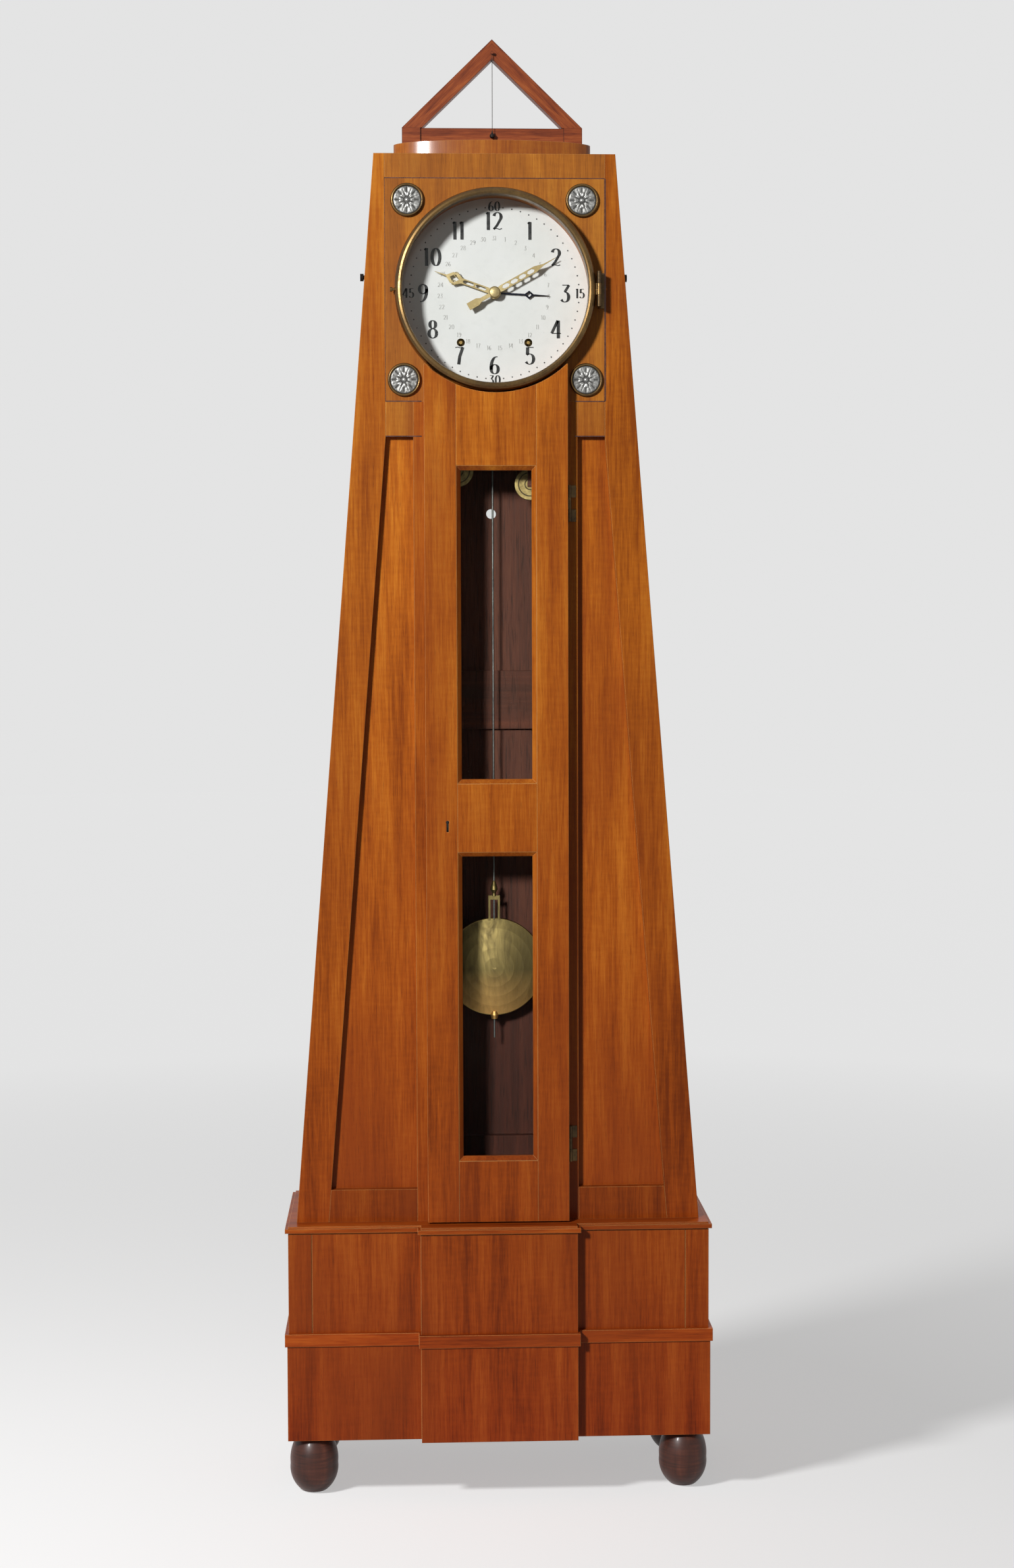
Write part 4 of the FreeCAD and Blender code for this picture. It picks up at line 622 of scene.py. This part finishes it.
# Mesh helpers
def meshPiece(name, body, material, build, rounded=False):
    form = bmesh.new()
    build(form)
    bmesh.ops.recalc_face_normals(form, faces=form.faces)
    data = bpy.data.meshes.new(name)
    form.to_mesh(data)
    form.free()
    for face in data.polygons:
        face.use_smooth = rounded
    piece = bpy.data.objects.new(name, data)
    bpy.context.scene.collection.objects.link(piece)
    data.materials.append(material)
    if body:
        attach(piece, body)
    return piece


def skin(form, rings):
    for low, high in zip(rings, rings[1:]):
        for step in range(len(low)):
            form.faces.new((low[step], low[step - 1], high[step - 1], high[step]))


def ringPoints(centre, radius, first, second, steps):
    turns = [2 * math.pi * step / steps for step in range(steps + 1)]
    return [centre + radius * (math.cos(turn) * first + math.sin(turn) * second) for turn in turns]


def tube(form, points, radius, sides, twist=0.0, lobes=0, lobeDepth=0.0):
    rings = []
    along = 0.0
    for index, point in enumerate(points):
        before = points[max(index - 1, 0)]
        after = points[min(index + 1, len(points) - 1)]
        ahead = (after - before).normalized()
        side = ahead.cross(Vector((0, 1, 0))).normalized()
        over = side.cross(ahead)
        along += (point - before).length
        ring = []
        for step in range(sides):
            turn = 2 * math.pi * step / sides
            reach = radius * (1 - lobeDepth + lobeDepth * math.cos(lobes * turn))
            angle = turn + twist * along
            ring.append(form.verts.new(point + reach * (math.cos(angle) * side + math.sin(angle) * over)))
        rings.append(ring)
    skin(form, rings)
    form.faces.new(rings[0])
    form.faces.new(rings[-1])


def turnedForward(form, centre, profile, sides):
    rings = []
    for radius, along in profile:
        middle = centre - Vector((0, along, 0))
        points = ringPoints(middle, radius, Vector((1, 0, 0)), Vector((0, 0, 1)), sides)
        rings.append([form.verts.new(point) for point in points[:-1]])
    skin(form, rings)
    form.faces.new(rings[0])
    form.faces.new(rings[-1])


# Weight lines and plumb line: laid cord, twisted as it goes
lines = {
    "radius": 0.0008,
    "sides": 12,
    "lay": 900.0,
    "strands": 3,
    "lobe": 0.14,
    "dark": (0.10, 0.075, 0.05),
    "light": (0.30, 0.23, 0.15),
    "grooveRadius": 0.0188,
    "drumX": 0.0302,
    "lead": 0.0205,
    "ledFineness": 48,
    "dropFineness": 26,
}
plumb = {
    "radius": 0.0005,
    "lay": 1500.0,
    "lobe": 0.05,
    "dark": (0.020, 0.016, 0.013),
    "light": (0.070, 0.055, 0.042),
    "fineness": 52,
    "inBob": 0.0015,
    "eyeRadius": 0.0014,
    "eyeWire": 0.00045,
    "eyeSteps": 24,
    "eyeSides": 8,
}
cord = cordFinish("line_gut", lines["dark"], lines["light"])
plumbCord = cordFinish("line_plumb", plumb["dark"], plumb["light"])


def splinePoints(controls, fineness):
    data = bpy.data.curves.new("route", "CURVE")
    data.dimensions = "3D"
    spline = data.splines.new("NURBS")
    spline.points.add(len(controls) - 1)
    for point, place in zip(spline.points, controls):
        point.co = (*place, 1.0)
    spline.order_u = 3
    spline.use_endpoint_u = True
    spline.resolution_u = fineness
    holder = bpy.data.objects.new("route", data)
    mesh = bpy.data.meshes.new_from_object(holder)
    points = [corner.co.copy() for corner in mesh.vertices]
    bpy.data.objects.remove(holder)
    bpy.data.meshes.remove(mesh)
    bpy.data.curves.remove(data)
    return points


def layLine(name, body, points):
    def build(form):
        tube(form, points, lines["radius"], lines["sides"], lines["lay"], lines["strands"], lines["lobe"])

    return meshPiece(name, body, cord, build, True)


for train, side in (("going", -1), ("strike", 1)):
    inner = centreOf(train + "_inner_pulley")
    outer = centreOf(train + "_outer_pulley")
    drum = centreOf(train + "_barrel")
    groove = lines["grooveRadius"]
    lead = lines["lead"]
    fallX = side * lines["drumX"]
    riseX = inner.x + side * groove
    dropX = outer.x + side * groove
    # down from the drum, under the inner pulley and over the outer one
    corners = (
        (fallX, drum.z), (fallX, inner.z + lead),
        (fallX, inner.z - groove), (riseX, inner.z - groove),
        (riseX, inner.z + lead), (riseX, outer.z - lead),
        (riseX, outer.z + groove), (dropX, outer.z + groove),
        (dropX, outer.z),
    )
    route = splinePoints([Vector((x, inner.y, z)) for x, z in corners], lines["ledFineness"])
    led = layLine(train + "_line_led", "case", route)
    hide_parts(train + "_line")
    top = Vector((dropX, inner.y, outer.z))
    foot = Vector((dropX, inner.y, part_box(train + "_weight")[1][2]))
    fall = splinePoints([top, top.lerp(foot, 0.5), foot], lines["dropFineness"])
    drop = layLine(train + "_line_drop", None, fall)
    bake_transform(drop)

plumbPlace = centreOf("plumb_line")
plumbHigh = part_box("plumb_line")[1][2]
eyeHeight = plumbHigh - plumb["eyeRadius"] - plumb["radius"]
eyeCentre = Vector((plumbPlace.x, plumbPlace.y, eyeHeight))
plumbTop = eyeCentre - Vector((0, 0, plumb["eyeRadius"]))
plumbFoot = Vector((plumbPlace.x, plumbPlace.y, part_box("plumb_bob")[1][2] - plumb["inBob"]))
plumbRoute = splinePoints([plumbTop, plumbTop.lerp(plumbFoot, 0.5), plumbFoot], plumb["fineness"])


def buildPlumb(form):
    tube(form, plumbRoute, plumb["radius"], lines["sides"], plumb["lay"], lines["strands"], plumb["lobe"])


def buildPlumbEye(form):
    ring = ringPoints(eyeCentre, plumb["eyeRadius"], Vector((0, 0, -1)), Vector((1, 0, 0)), plumb["eyeSteps"])
    tube(form, ring, plumb["eyeWire"], plumb["eyeSides"])


plumbEye = meshPiece("plumb_line_eye", "plumb", plumbCord, buildPlumbEye, True)
plumbLine = meshPiece("plumb_line_laid", "plumb", plumbCord, buildPlumb, True)
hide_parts("plumb_line")
[tuple(point) for point in plumbRoute]
print("clock: lines laid")

# Dial: numerals drawn with a broad pen, minute dots and a ring of dates
dial = {
    "hourRing": 0.0950,
    "hourTall": 0.0235,
    "hourStem": 0.185,
    "minuteRing": 0.1145,
    "minuteTall": 0.0125,
    "minuteStem": 0.20,
    "dotRing": 0.1130,
    "dotRadius": 0.0010,
    "dotSides": 10,
    "dateRing": 0.0725,
    "dateTall": 0.0058,
    "dateStem": 0.12,
    "hair": 0.048,
    "swell": 2.2,
    "lift": 0.00025,
    "space": 0.10,
    "black": ((0.006, 0.006, 0.007), (0.045, 0.044, 0.042)),
    "faint": ((0.36, 0.35, 0.33), (0.62, 0.61, 0.59)),
    "dotInk": ((0.05, 0.05, 0.05), (0.24, 0.235, 0.23)),
}
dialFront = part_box("dial_plate")[0][1]
dialHeight = centreOf("dial_plate").z
black = inkFinish("numeral_black", *dial["black"])
faint = inkFinish("date_ink", *dial["faint"])
dotInk = inkFinish("dot_ink", *dial["dotInk"])


def arc(x, z, across, up, start, end, count):
    points = []
    for step in range(count + 1):
        turn = math.radians(start + (end - start) * step / count)
        points.append((x + across * math.cos(turn), z + up * math.sin(turn)))
    return points


# Each figure: its width and its strokes, one unit tall
figures = {
    "0": (0.56, [arc(0.28, 0.50, 0.22, 0.48, 0, 360, 36)]),
    "1": (0.30, [[(0.15, 0.0), (0.15, 1.0)], [(0.02, 0.90), (0.14, 0.985)]]),
    "2": (0.56, [
        arc(0.27, 0.74, 0.20, 0.24, 170, -35, 24) + [(0.24, 0.26), (0.05, 0.04)],
        [(0.05, 0.06), (0.20, 0.09), (0.38, 0.04), (0.52, 0.08)],
    ]),
    "3": (0.54, [
        [(0.08, 0.97), (0.46, 0.97)],
        [(0.46, 0.97), (0.22, 0.58)],
        arc(0.22, 0.30, 0.22, 0.28, 95, -150, 28),
    ]),
    "4": (0.58, [
        [(0.38, 1.0), (0.03, 0.28)],
        [(0.03, 0.28), (0.56, 0.28)],
        [(0.41, 0.0), (0.41, 1.0)],
    ]),
    "5": (0.54, [
        [(0.12, 0.97), (0.46, 0.97)],
        [(0.12, 0.97), (0.11, 0.55)],
        arc(0.23, 0.31, 0.23, 0.29, 130, -150, 30),
    ]),
    "6": (0.56, [arc(0.28, 0.28, 0.20, 0.26, 0, 360, 32), arc(0.40, 0.36, 0.32, 0.62, 82, 190, 24)]),
    "7": (0.52, [
        [(0.05, 0.95), (0.20, 0.98), (0.34, 0.93), (0.48, 0.97)],
        [(0.48, 0.97), (0.30, 0.45), (0.24, 0.0)],
    ]),
    "8": (0.56, [arc(0.28, 0.76, 0.16, 0.22, 0, 360, 30), arc(0.28, 0.26, 0.21, 0.26, 0, 360, 32)]),
    "9": (0.56, [arc(0.28, 0.72, 0.20, 0.26, 0, 360, 32), arc(0.16, 0.64, 0.32, 0.62, -98, 10, 24)]),
}


def penStroke(form, points, stem, toDial):
    # the pen is broad across an upright stroke and a hairline along a level one
    left = []
    right = []
    for index, (x, z) in enumerate(points):
        beforeX, beforeZ = points[max(index - 1, 0)]
        afterX, afterZ = points[min(index + 1, len(points) - 1)]
        length = math.hypot(afterX - beforeX, afterZ - beforeZ)
        upness = abs(afterZ - beforeZ) / length
        half = (dial["hair"] + (stem - dial["hair"]) * upness ** dial["swell"]) / 2
        acrossX = -(afterZ - beforeZ) / length * half
        acrossZ = (afterX - beforeX) / length * half
        left.append(toDial(x + acrossX, z + acrossZ))
        right.append(toDial(x - acrossX, z - acrossZ))
    for step in range(len(points) - 1):
        corners = (left[step], left[step + 1], right[step + 1], right[step])
        form.faces.new([form.verts.new(corner) for corner in corners])


def onDial(ring, turn):
    return Vector((ring * math.sin(turn), dialFront - dial["lift"], dialHeight + ring * math.cos(turn)))


def writeNumber(form, number, place, tall, stem):
    digits = [figures[digit] for digit in str(number)]
    wide = sum(width for width, strokes in digits) + dial["space"] * (len(digits) - 1)
    start = -wide / 2
    for width, strokes in digits:
        def toDial(across, up):
            return place + tall * Vector((start + across, 0, up - 0.5))

        for points in strokes:
            penStroke(form, points, stem, toDial)
        start += width + dial["space"]


def numberRing(numbers, whole, kind):
    def build(form):
        for number in numbers:
            place = onDial(dial[kind + "Ring"], 2 * math.pi * number / whole)
            writeNumber(form, number, place, dial[kind + "Tall"], dial[kind + "Stem"])

    return build


def buildDots(form):
    for minute in range(60):
        if minute % 15:
            place = onDial(dial["dotRing"], 2 * math.pi * minute / 60)
            spot = Matrix.Translation(place) @ Matrix.Rotation(math.pi / 2, 4, "X")
            bmesh.ops.create_circle(
                form, cap_ends=True, segments=dial["dotSides"], radius=dial["dotRadius"], matrix=spot,
            )


meshPiece("dial_hours", "case", black, numberRing(range(1, 13), 12, "hour"))
meshPiece("dial_minutes", "case", black, numberRing((15, 30, 45, 60), 60, "minute"))
meshPiece("dial_dots", "case", dotInk, buildDots)
meshPiece("dial_dates", "case", faint, numberRing(range(1, 32), 31, "date"))

# Collet over the minute hand: radius and reach of each turned step
hub = {
    "profile": (
        (0.0074, 0.0), (0.0074, 0.0006), (0.0054, 0.0011),
        (0.0046, 0.00132), (0.00322, 0.00198), (0.0017, 0.0022),
    ),
    "sides": 36,
}


def buildHub(form):
    turnedForward(form, Vector((0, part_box("minute_hand")[0][1], dialHeight)), hub["profile"], hub["sides"])


meshPiece("hand_collet", "centre_arbor", gilt, buildHub, True)

# Two small rings beside the eye of the hour hand make its trefoil
trefoil = {
    "turn": math.radians(289.3),
    "reach": 0.0555,
    "aside": 0.0056,
    "radius": 0.0030,
    "wire": 0.0006,
    "steps": 28,
    "sides": 8,
}


def buildTrefoil(form):
    along = Vector((math.sin(trefoil["turn"]), 0, math.cos(trefoil["turn"])))
    aside = Vector((along.z, 0, -along.x))
    middle = Vector((0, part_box("hour_hand")[0][1] + trefoil["wire"], dialHeight)) + trefoil["reach"] * along
    for side in (-1, 1):
        eye = middle + side * trefoil["aside"] * aside
        ring = ringPoints(eye, trefoil["radius"], along, aside, trefoil["steps"])
        tube(form, ring, trefoil["wire"], trefoil["sides"])


meshPiece("hour_hand_rings", "hour_hand", gilt, buildTrefoil, True)
print("clock: dial painted")

# Rosettes: a silvered relief of two rows of petals, with beaded tips, in a brass rim
rosette = {
    "radius": 0.022,
    "upperIn": 0.005,
    "rimProfile": (
        (0.0220, 0.0), (0.0220, 0.0028), (0.0211, 0.0044), (0.0198, 0.0050),
        (0.0188, 0.0042), (0.0182, 0.0024), (0.0182, 0.0),
    ),
    "rimSides": 64,
    "flowerRadius": 0.0188,
    "petals": 8,
    "innerRow": {"middle": 0.38, "width": 0.15, "offset": 0.0},
    "outerRow": {"middle": 0.72, "width": 0.22, "offset": math.pi / 2},
    "tipRing": 0.90,
    "tipWidth": 0.05,
    "rings": 26,
    "spokes": 128,
    "wave": 0.0016,
    "boss": 0.18,
    "core": 0.004,
    "ground": 0.0026,
    "bright": (0.42, 0.42, 0.40),
    "dull": (0.21, 0.207, 0.195),
    "patina": (0.030, 0.029, 0.027),
    "patinaShare": 0.85,
}
boardLow, boardHigh = boxOf("dial_board")
rosetteLow, rosetteHigh = boxOf("rosettes")
lowerX = rosetteHigh.x - rosette["radius"]
upperX = lowerX - rosette["upperIn"]
rosettePlaces = []
for side in (-1, 1):
    rosettePlaces.append(Vector((side * upperX, boardLow.y, rosetteHigh.z - rosette["radius"])))
    rosettePlaces.append(Vector((side * lowerX, boardLow.y, rosetteLow.z + rosette["radius"])))


def petalRow(share, turn, row):
    phase = rosette["petals"] * turn / 2 + row["offset"]
    lobe = abs(math.cos(phase)) ** 0.55 - 0.30 * math.exp(-((math.sin(phase) / 0.22) ** 2))
    return math.exp(-((share - row["middle"]) / row["width"]) ** 4) * lobe


def petalHeight(share, turn):
    boss = max(0.0, 1 - (share / rosette["boss"]) ** 2)
    inner = petalRow(share, turn, rosette["innerRow"])
    outer = petalRow(share, turn, rosette["outerRow"])
    beads = 0.5 + 0.5 * math.cos(2 * rosette["petals"] * turn)
    tips = math.exp(-((share - rosette["tipRing"]) / rosette["tipWidth"]) ** 2) * beads
    return 0.9 * boss + 0.95 * inner + 0.8 * outer + 0.35 * tips


def buildFlowers(form):
    for place in rosettePlaces:
        rings = []
        for ring in range(rosette["rings"] + 1):
            share = ring / rosette["rings"]
            across = max(share, rosette["core"]) * rosette["flowerRadius"]
            row = []
            for spoke in range(rosette["spokes"]):
                turn = 2 * math.pi * spoke / rosette["spokes"]
                lift = rosette["ground"] + rosette["wave"] * petalHeight(share, turn)
                spot = Vector((across * math.cos(turn), -lift, across * math.sin(turn)))
                row.append(form.verts.new(place + spot))
            rings.append(row)
        skin(form, rings)
        form.faces.new(rings[0])


def buildRims(form):
    for place in rosettePlaces:
        turnedForward(form, place, rosette["rimProfile"], rosette["rimSides"])


def reliefFinish():
    material, wire, place = startFinish("silver_relief")
    ground = boardLow.y - rosette["ground"]
    hollow = place.axis("Y").between(ground - 0.85 * rosette["wave"], ground - 0.20 * rosette["wave"])
    patch = place.noise(260.0, 3.0, 0.6).between(0.36, 0.66)
    colour = patch.mixed(rosette["bright"], rosette["dull"])
    endFinish(wire, {
        "Base Color": (hollow * rosette["patinaShare"]).mixed(colour, rosette["patina"]),
        "Metallic": 0.9,
        "Roughness": 0.36 + 0.2 * hollow,
        "Normal": patch.bump(0.1, 0.0001),
    })
    return material


flowers = meshPiece("rosette_flowers", "case", reliefFinish(), buildFlowers, True)
meshPiece("rosette_rims", "case", bezelBrass, buildRims, True)
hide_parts("rosettes")
print("clock: rosettes set")

# Painted shadow lines round the dial board and under its rails: dark strips, wider on the right and narrower
# at the top and left
jointShadows = {
    "half": 0.00075,
    "rightHalf": 0.0015,
    "topHalf": 0.0006,
    "leftHalf": 0.0003,
    "proud": 0.00015,
    "doorLeft": 0.0978,
    "doorRight": 0.1058,
    "dark": (0.045, 0.0090, 0.0030),
    "worn": (0.11, 0.026, 0.007),
}


def strip(form, x0, x1, z0, z1):
    low = Vector((x0, boardLow.y - jointShadows["proud"], z0))
    high = Vector((x1, boardLow.y + jointShadows["proud"], z1))
    middle = Matrix.Translation((low + high) / 2)
    bmesh.ops.create_cube(form, size=1.0, matrix=middle @ Matrix.Diagonal((high - low).to_4d()))


def buildJoints(form):
    side = boardHigh.x
    half, topHalf, leftHalf = jointShadows["half"], jointShadows["topHalf"], jointShadows["leftHalf"]
    for z in (boardLow.z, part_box("field_panels")[1][2]):
        strip(form, -side, -jointShadows["doorLeft"], z - half, z + half)
        strip(form, jointShadows["doorRight"], side, z - half, z + half)
    strip(form, side - half, side + jointShadows["rightHalf"], boardLow.z, boardHigh.z)
    strip(form, -side, side, boardHigh.z - topHalf, boardHigh.z + topHalf)
    strip(form, -side - leftHalf, -side + leftHalf, boardLow.z, boardHigh.z)


# painted shadow: dark strips standing for the shade at the edges of the board and rails
jointShadowInk = inkFinish("joint_shadow_ink", jointShadows["dark"], jointShadows["worn"])
meshPiece("board_joint_shadows", "case", jointShadowInk, buildJoints)

# Bob: a bright rim ring pressed round the lens
bobRing = {"radius": 0.0674, "height": 0.6948, "thick": 0.0013, "steps": 96, "sides": 10}


def buildBobRing(form):
    middle = Vector((0, centreOf("pendulum_bob").y, bobRing["height"]))
    ring = ringPoints(middle, bobRing["radius"], Vector((1, 0, 0)), Vector((0, 0, 1)), bobRing["steps"])
    tube(form, ring, bobRing["thick"], bobRing["sides"])


meshPiece("bob_rim", "pendulum", brass, buildBobRing, True)

# Floor: a round of paper that fades into the grey of the air
studio = {
    "nearPaper": 0.68,
    "farPaper": 0.03,
    "nearGlow": 0.44,
    "farGlow": 0.752,
    "fadeFrom": 0.7,
    "fadeTo": 3.4,
    "radius": 16.0,
    "sides": 128,
    "air": 0.775,
}


def directRays(wire):
    rays = ("Is Camera Ray", "Is Glossy Ray", "Is Transmission Ray")
    seen, glossy, through = (wire.node("ShaderNodeLightPath", {}, {}, ray) for ray in rays)
    return wire.maths("MAXIMUM", seen, wire.maths("MAXIMUM", glossy, through))


def floorFinish():
    material, wire, place = startFinish("studio_paper")
    mottle = place.noise(2.2, 3.0, 0.5)
    far = place.vector("LENGTH", {}).between(studio["fadeFrom"], studio["fadeTo"])
    glow = far.mixed(grey(studio["nearGlow"]), grey(studio["farGlow"]))
    shade = studio["nearPaper"] + (studio["farPaper"] - studio["nearPaper"]) * far + 0.012 * (mottle - 0.5)
    endFinish(wire, {
        "Base Color": wire.node("ShaderNodeCombineColor", {}, {0: shade, 1: shade, 2: shade}),
        "Roughness": 0.85 + 0.1 * mottle,
        "Specular IOR Level": 0.05,
        "Emission Color": directRays(wire).mixed(grey(0.0), glow),
        "Emission Strength": 1.0,
        "Normal": mottle.bump(0.02, 0.001),
    })
    return material


def buildFloor(form):
    bmesh.ops.create_circle(form, cap_ends=True, segments=studio["sides"], radius=studio["radius"])


floor = meshPiece("studio_floor", None, floorFinish(), buildFloor)

# Light: the key from the upper left front is for the clock, side for its shadow on the floor, inner for
# what is behind the glass, and back for the sides out of view; a weak fill comes from all round
lighting = {
    "key": {"place": (-2.27, -3.48, 2.60), "aim": (0.0, 0.0, 1.10), "size": 0.55, "power": 212.0},
    "side": {"place": (-1.85, -1.20, 2.45), "aim": (0.0, 0.0, 0.90), "size": 0.45, "power": 66.0},
    "inner": {"place": (-0.80, -3.36, 1.75), "aim": (0.0, 0.0, 0.95), "size": 0.30, "power": 98.0},
    "back": {"place": (2.60, 3.10, 2.70), "aim": (0.0, 0.0, 1.00), "size": 1.40, "power": 120.0},
    "fill": 0.095,
    "fillColour": (1.0, 0.99, 0.97),
}
behindGlass = (
    "back_board", "pendulum_rod", "pendulum_bob", "strike_inner_pulley", "going_inner_pulley", "seat_board",
)


def lamp(name, linkName, things):
    values = lighting[name]
    data = bpy.data.lights.new(name, "AREA")
    data.shape = "DISK"
    data.size = values["size"]
    data.energy = values["power"]
    made = bpy.data.objects.new(name, data)
    made.location = values["place"]
    aim = Vector(values["aim"]) - Vector(values["place"])
    made.rotation_euler = aim.to_track_quat("-Z", "Y").to_euler()
    bpy.context.scene.collection.objects.link(made)
    receivers = bpy.data.collections.new(linkName)
    for thing in things:
        receivers.objects.link(thing)
    made.light_linking.receiver_collection = receivers
    return made


clockAlone = [thing for thing in bpy.context.scene.objects if thing.type == "MESH" and thing != floor]
lamp("key", "key_on_clock", clockAlone)
lamp("side", "side_on_floor", [floor])
lamp("inner", "inner_behind_glass", [nodes[node] for node in behindGlass])
lamp("back", "back_on_clock", clockAlone).visible_glossy = False

world = bpy.data.worlds.new("studio_air")
world.use_nodes = True
world.node_tree.nodes.clear()
bpy.context.scene.world = world
air = Wire(world.node_tree)
plain = air.node("ShaderNodeBackground", {}, {"Color": grey(studio["air"]), "Strength": 1.0})
fill = air.node("ShaderNodeBackground", {}, {"Color": lighting["fillColour"], "Strength": lighting["fill"]})
sky = air.node("ShaderNodeMixShader", {}, {0: directRays(air), 1: fill, 2: plain})
air.node("ShaderNodeOutputWorld", {}, {"Surface": sky})

# Camera at the photograph's place
view = {
    "place": (-0.11366, -3.19038, 1.13391),
    "focalPixels": 3548.92,
    "imageTall": 2382,
    "sensor": 36.0,
    "farClip": 50.0,
    "yaw": 0.0408,
    "pitch": 0.0567,
    "roll": -0.0034,
}
yaw, pitch, roll = view["yaw"], view["pitch"], view["roll"]
forward = Vector((math.sin(yaw) * math.cos(pitch), math.cos(yaw) * math.cos(pitch), -math.sin(pitch)))
sideways = Vector((math.cos(yaw), -math.sin(yaw), 0))
upward = Vector((math.sin(yaw) * math.sin(pitch), math.cos(yaw) * math.sin(pitch), math.cos(pitch)))
right = math.cos(roll) * sideways + math.sin(roll) * upward
up = math.cos(roll) * upward - math.sin(roll) * sideways
cameraData = bpy.data.cameras.new("camera")
cameraData.sensor_fit = "VERTICAL"
cameraData.sensor_height = view["sensor"]
cameraData.lens = view["focalPixels"] * view["sensor"] / view["imageTall"]
cameraData.clip_end = view["farClip"]
camera = bpy.data.objects.new("camera", cameraData)
pose = Matrix((right, up, -forward)).transposed().to_4x4()
pose.translation = Vector(view["place"])
camera.matrix_world = pose
bpy.context.scene.collection.objects.link(camera)
bpy.context.scene.camera = camera
bpy.context.scene.view_settings.view_transform = "Standard"
print("clock: light and camera placed")
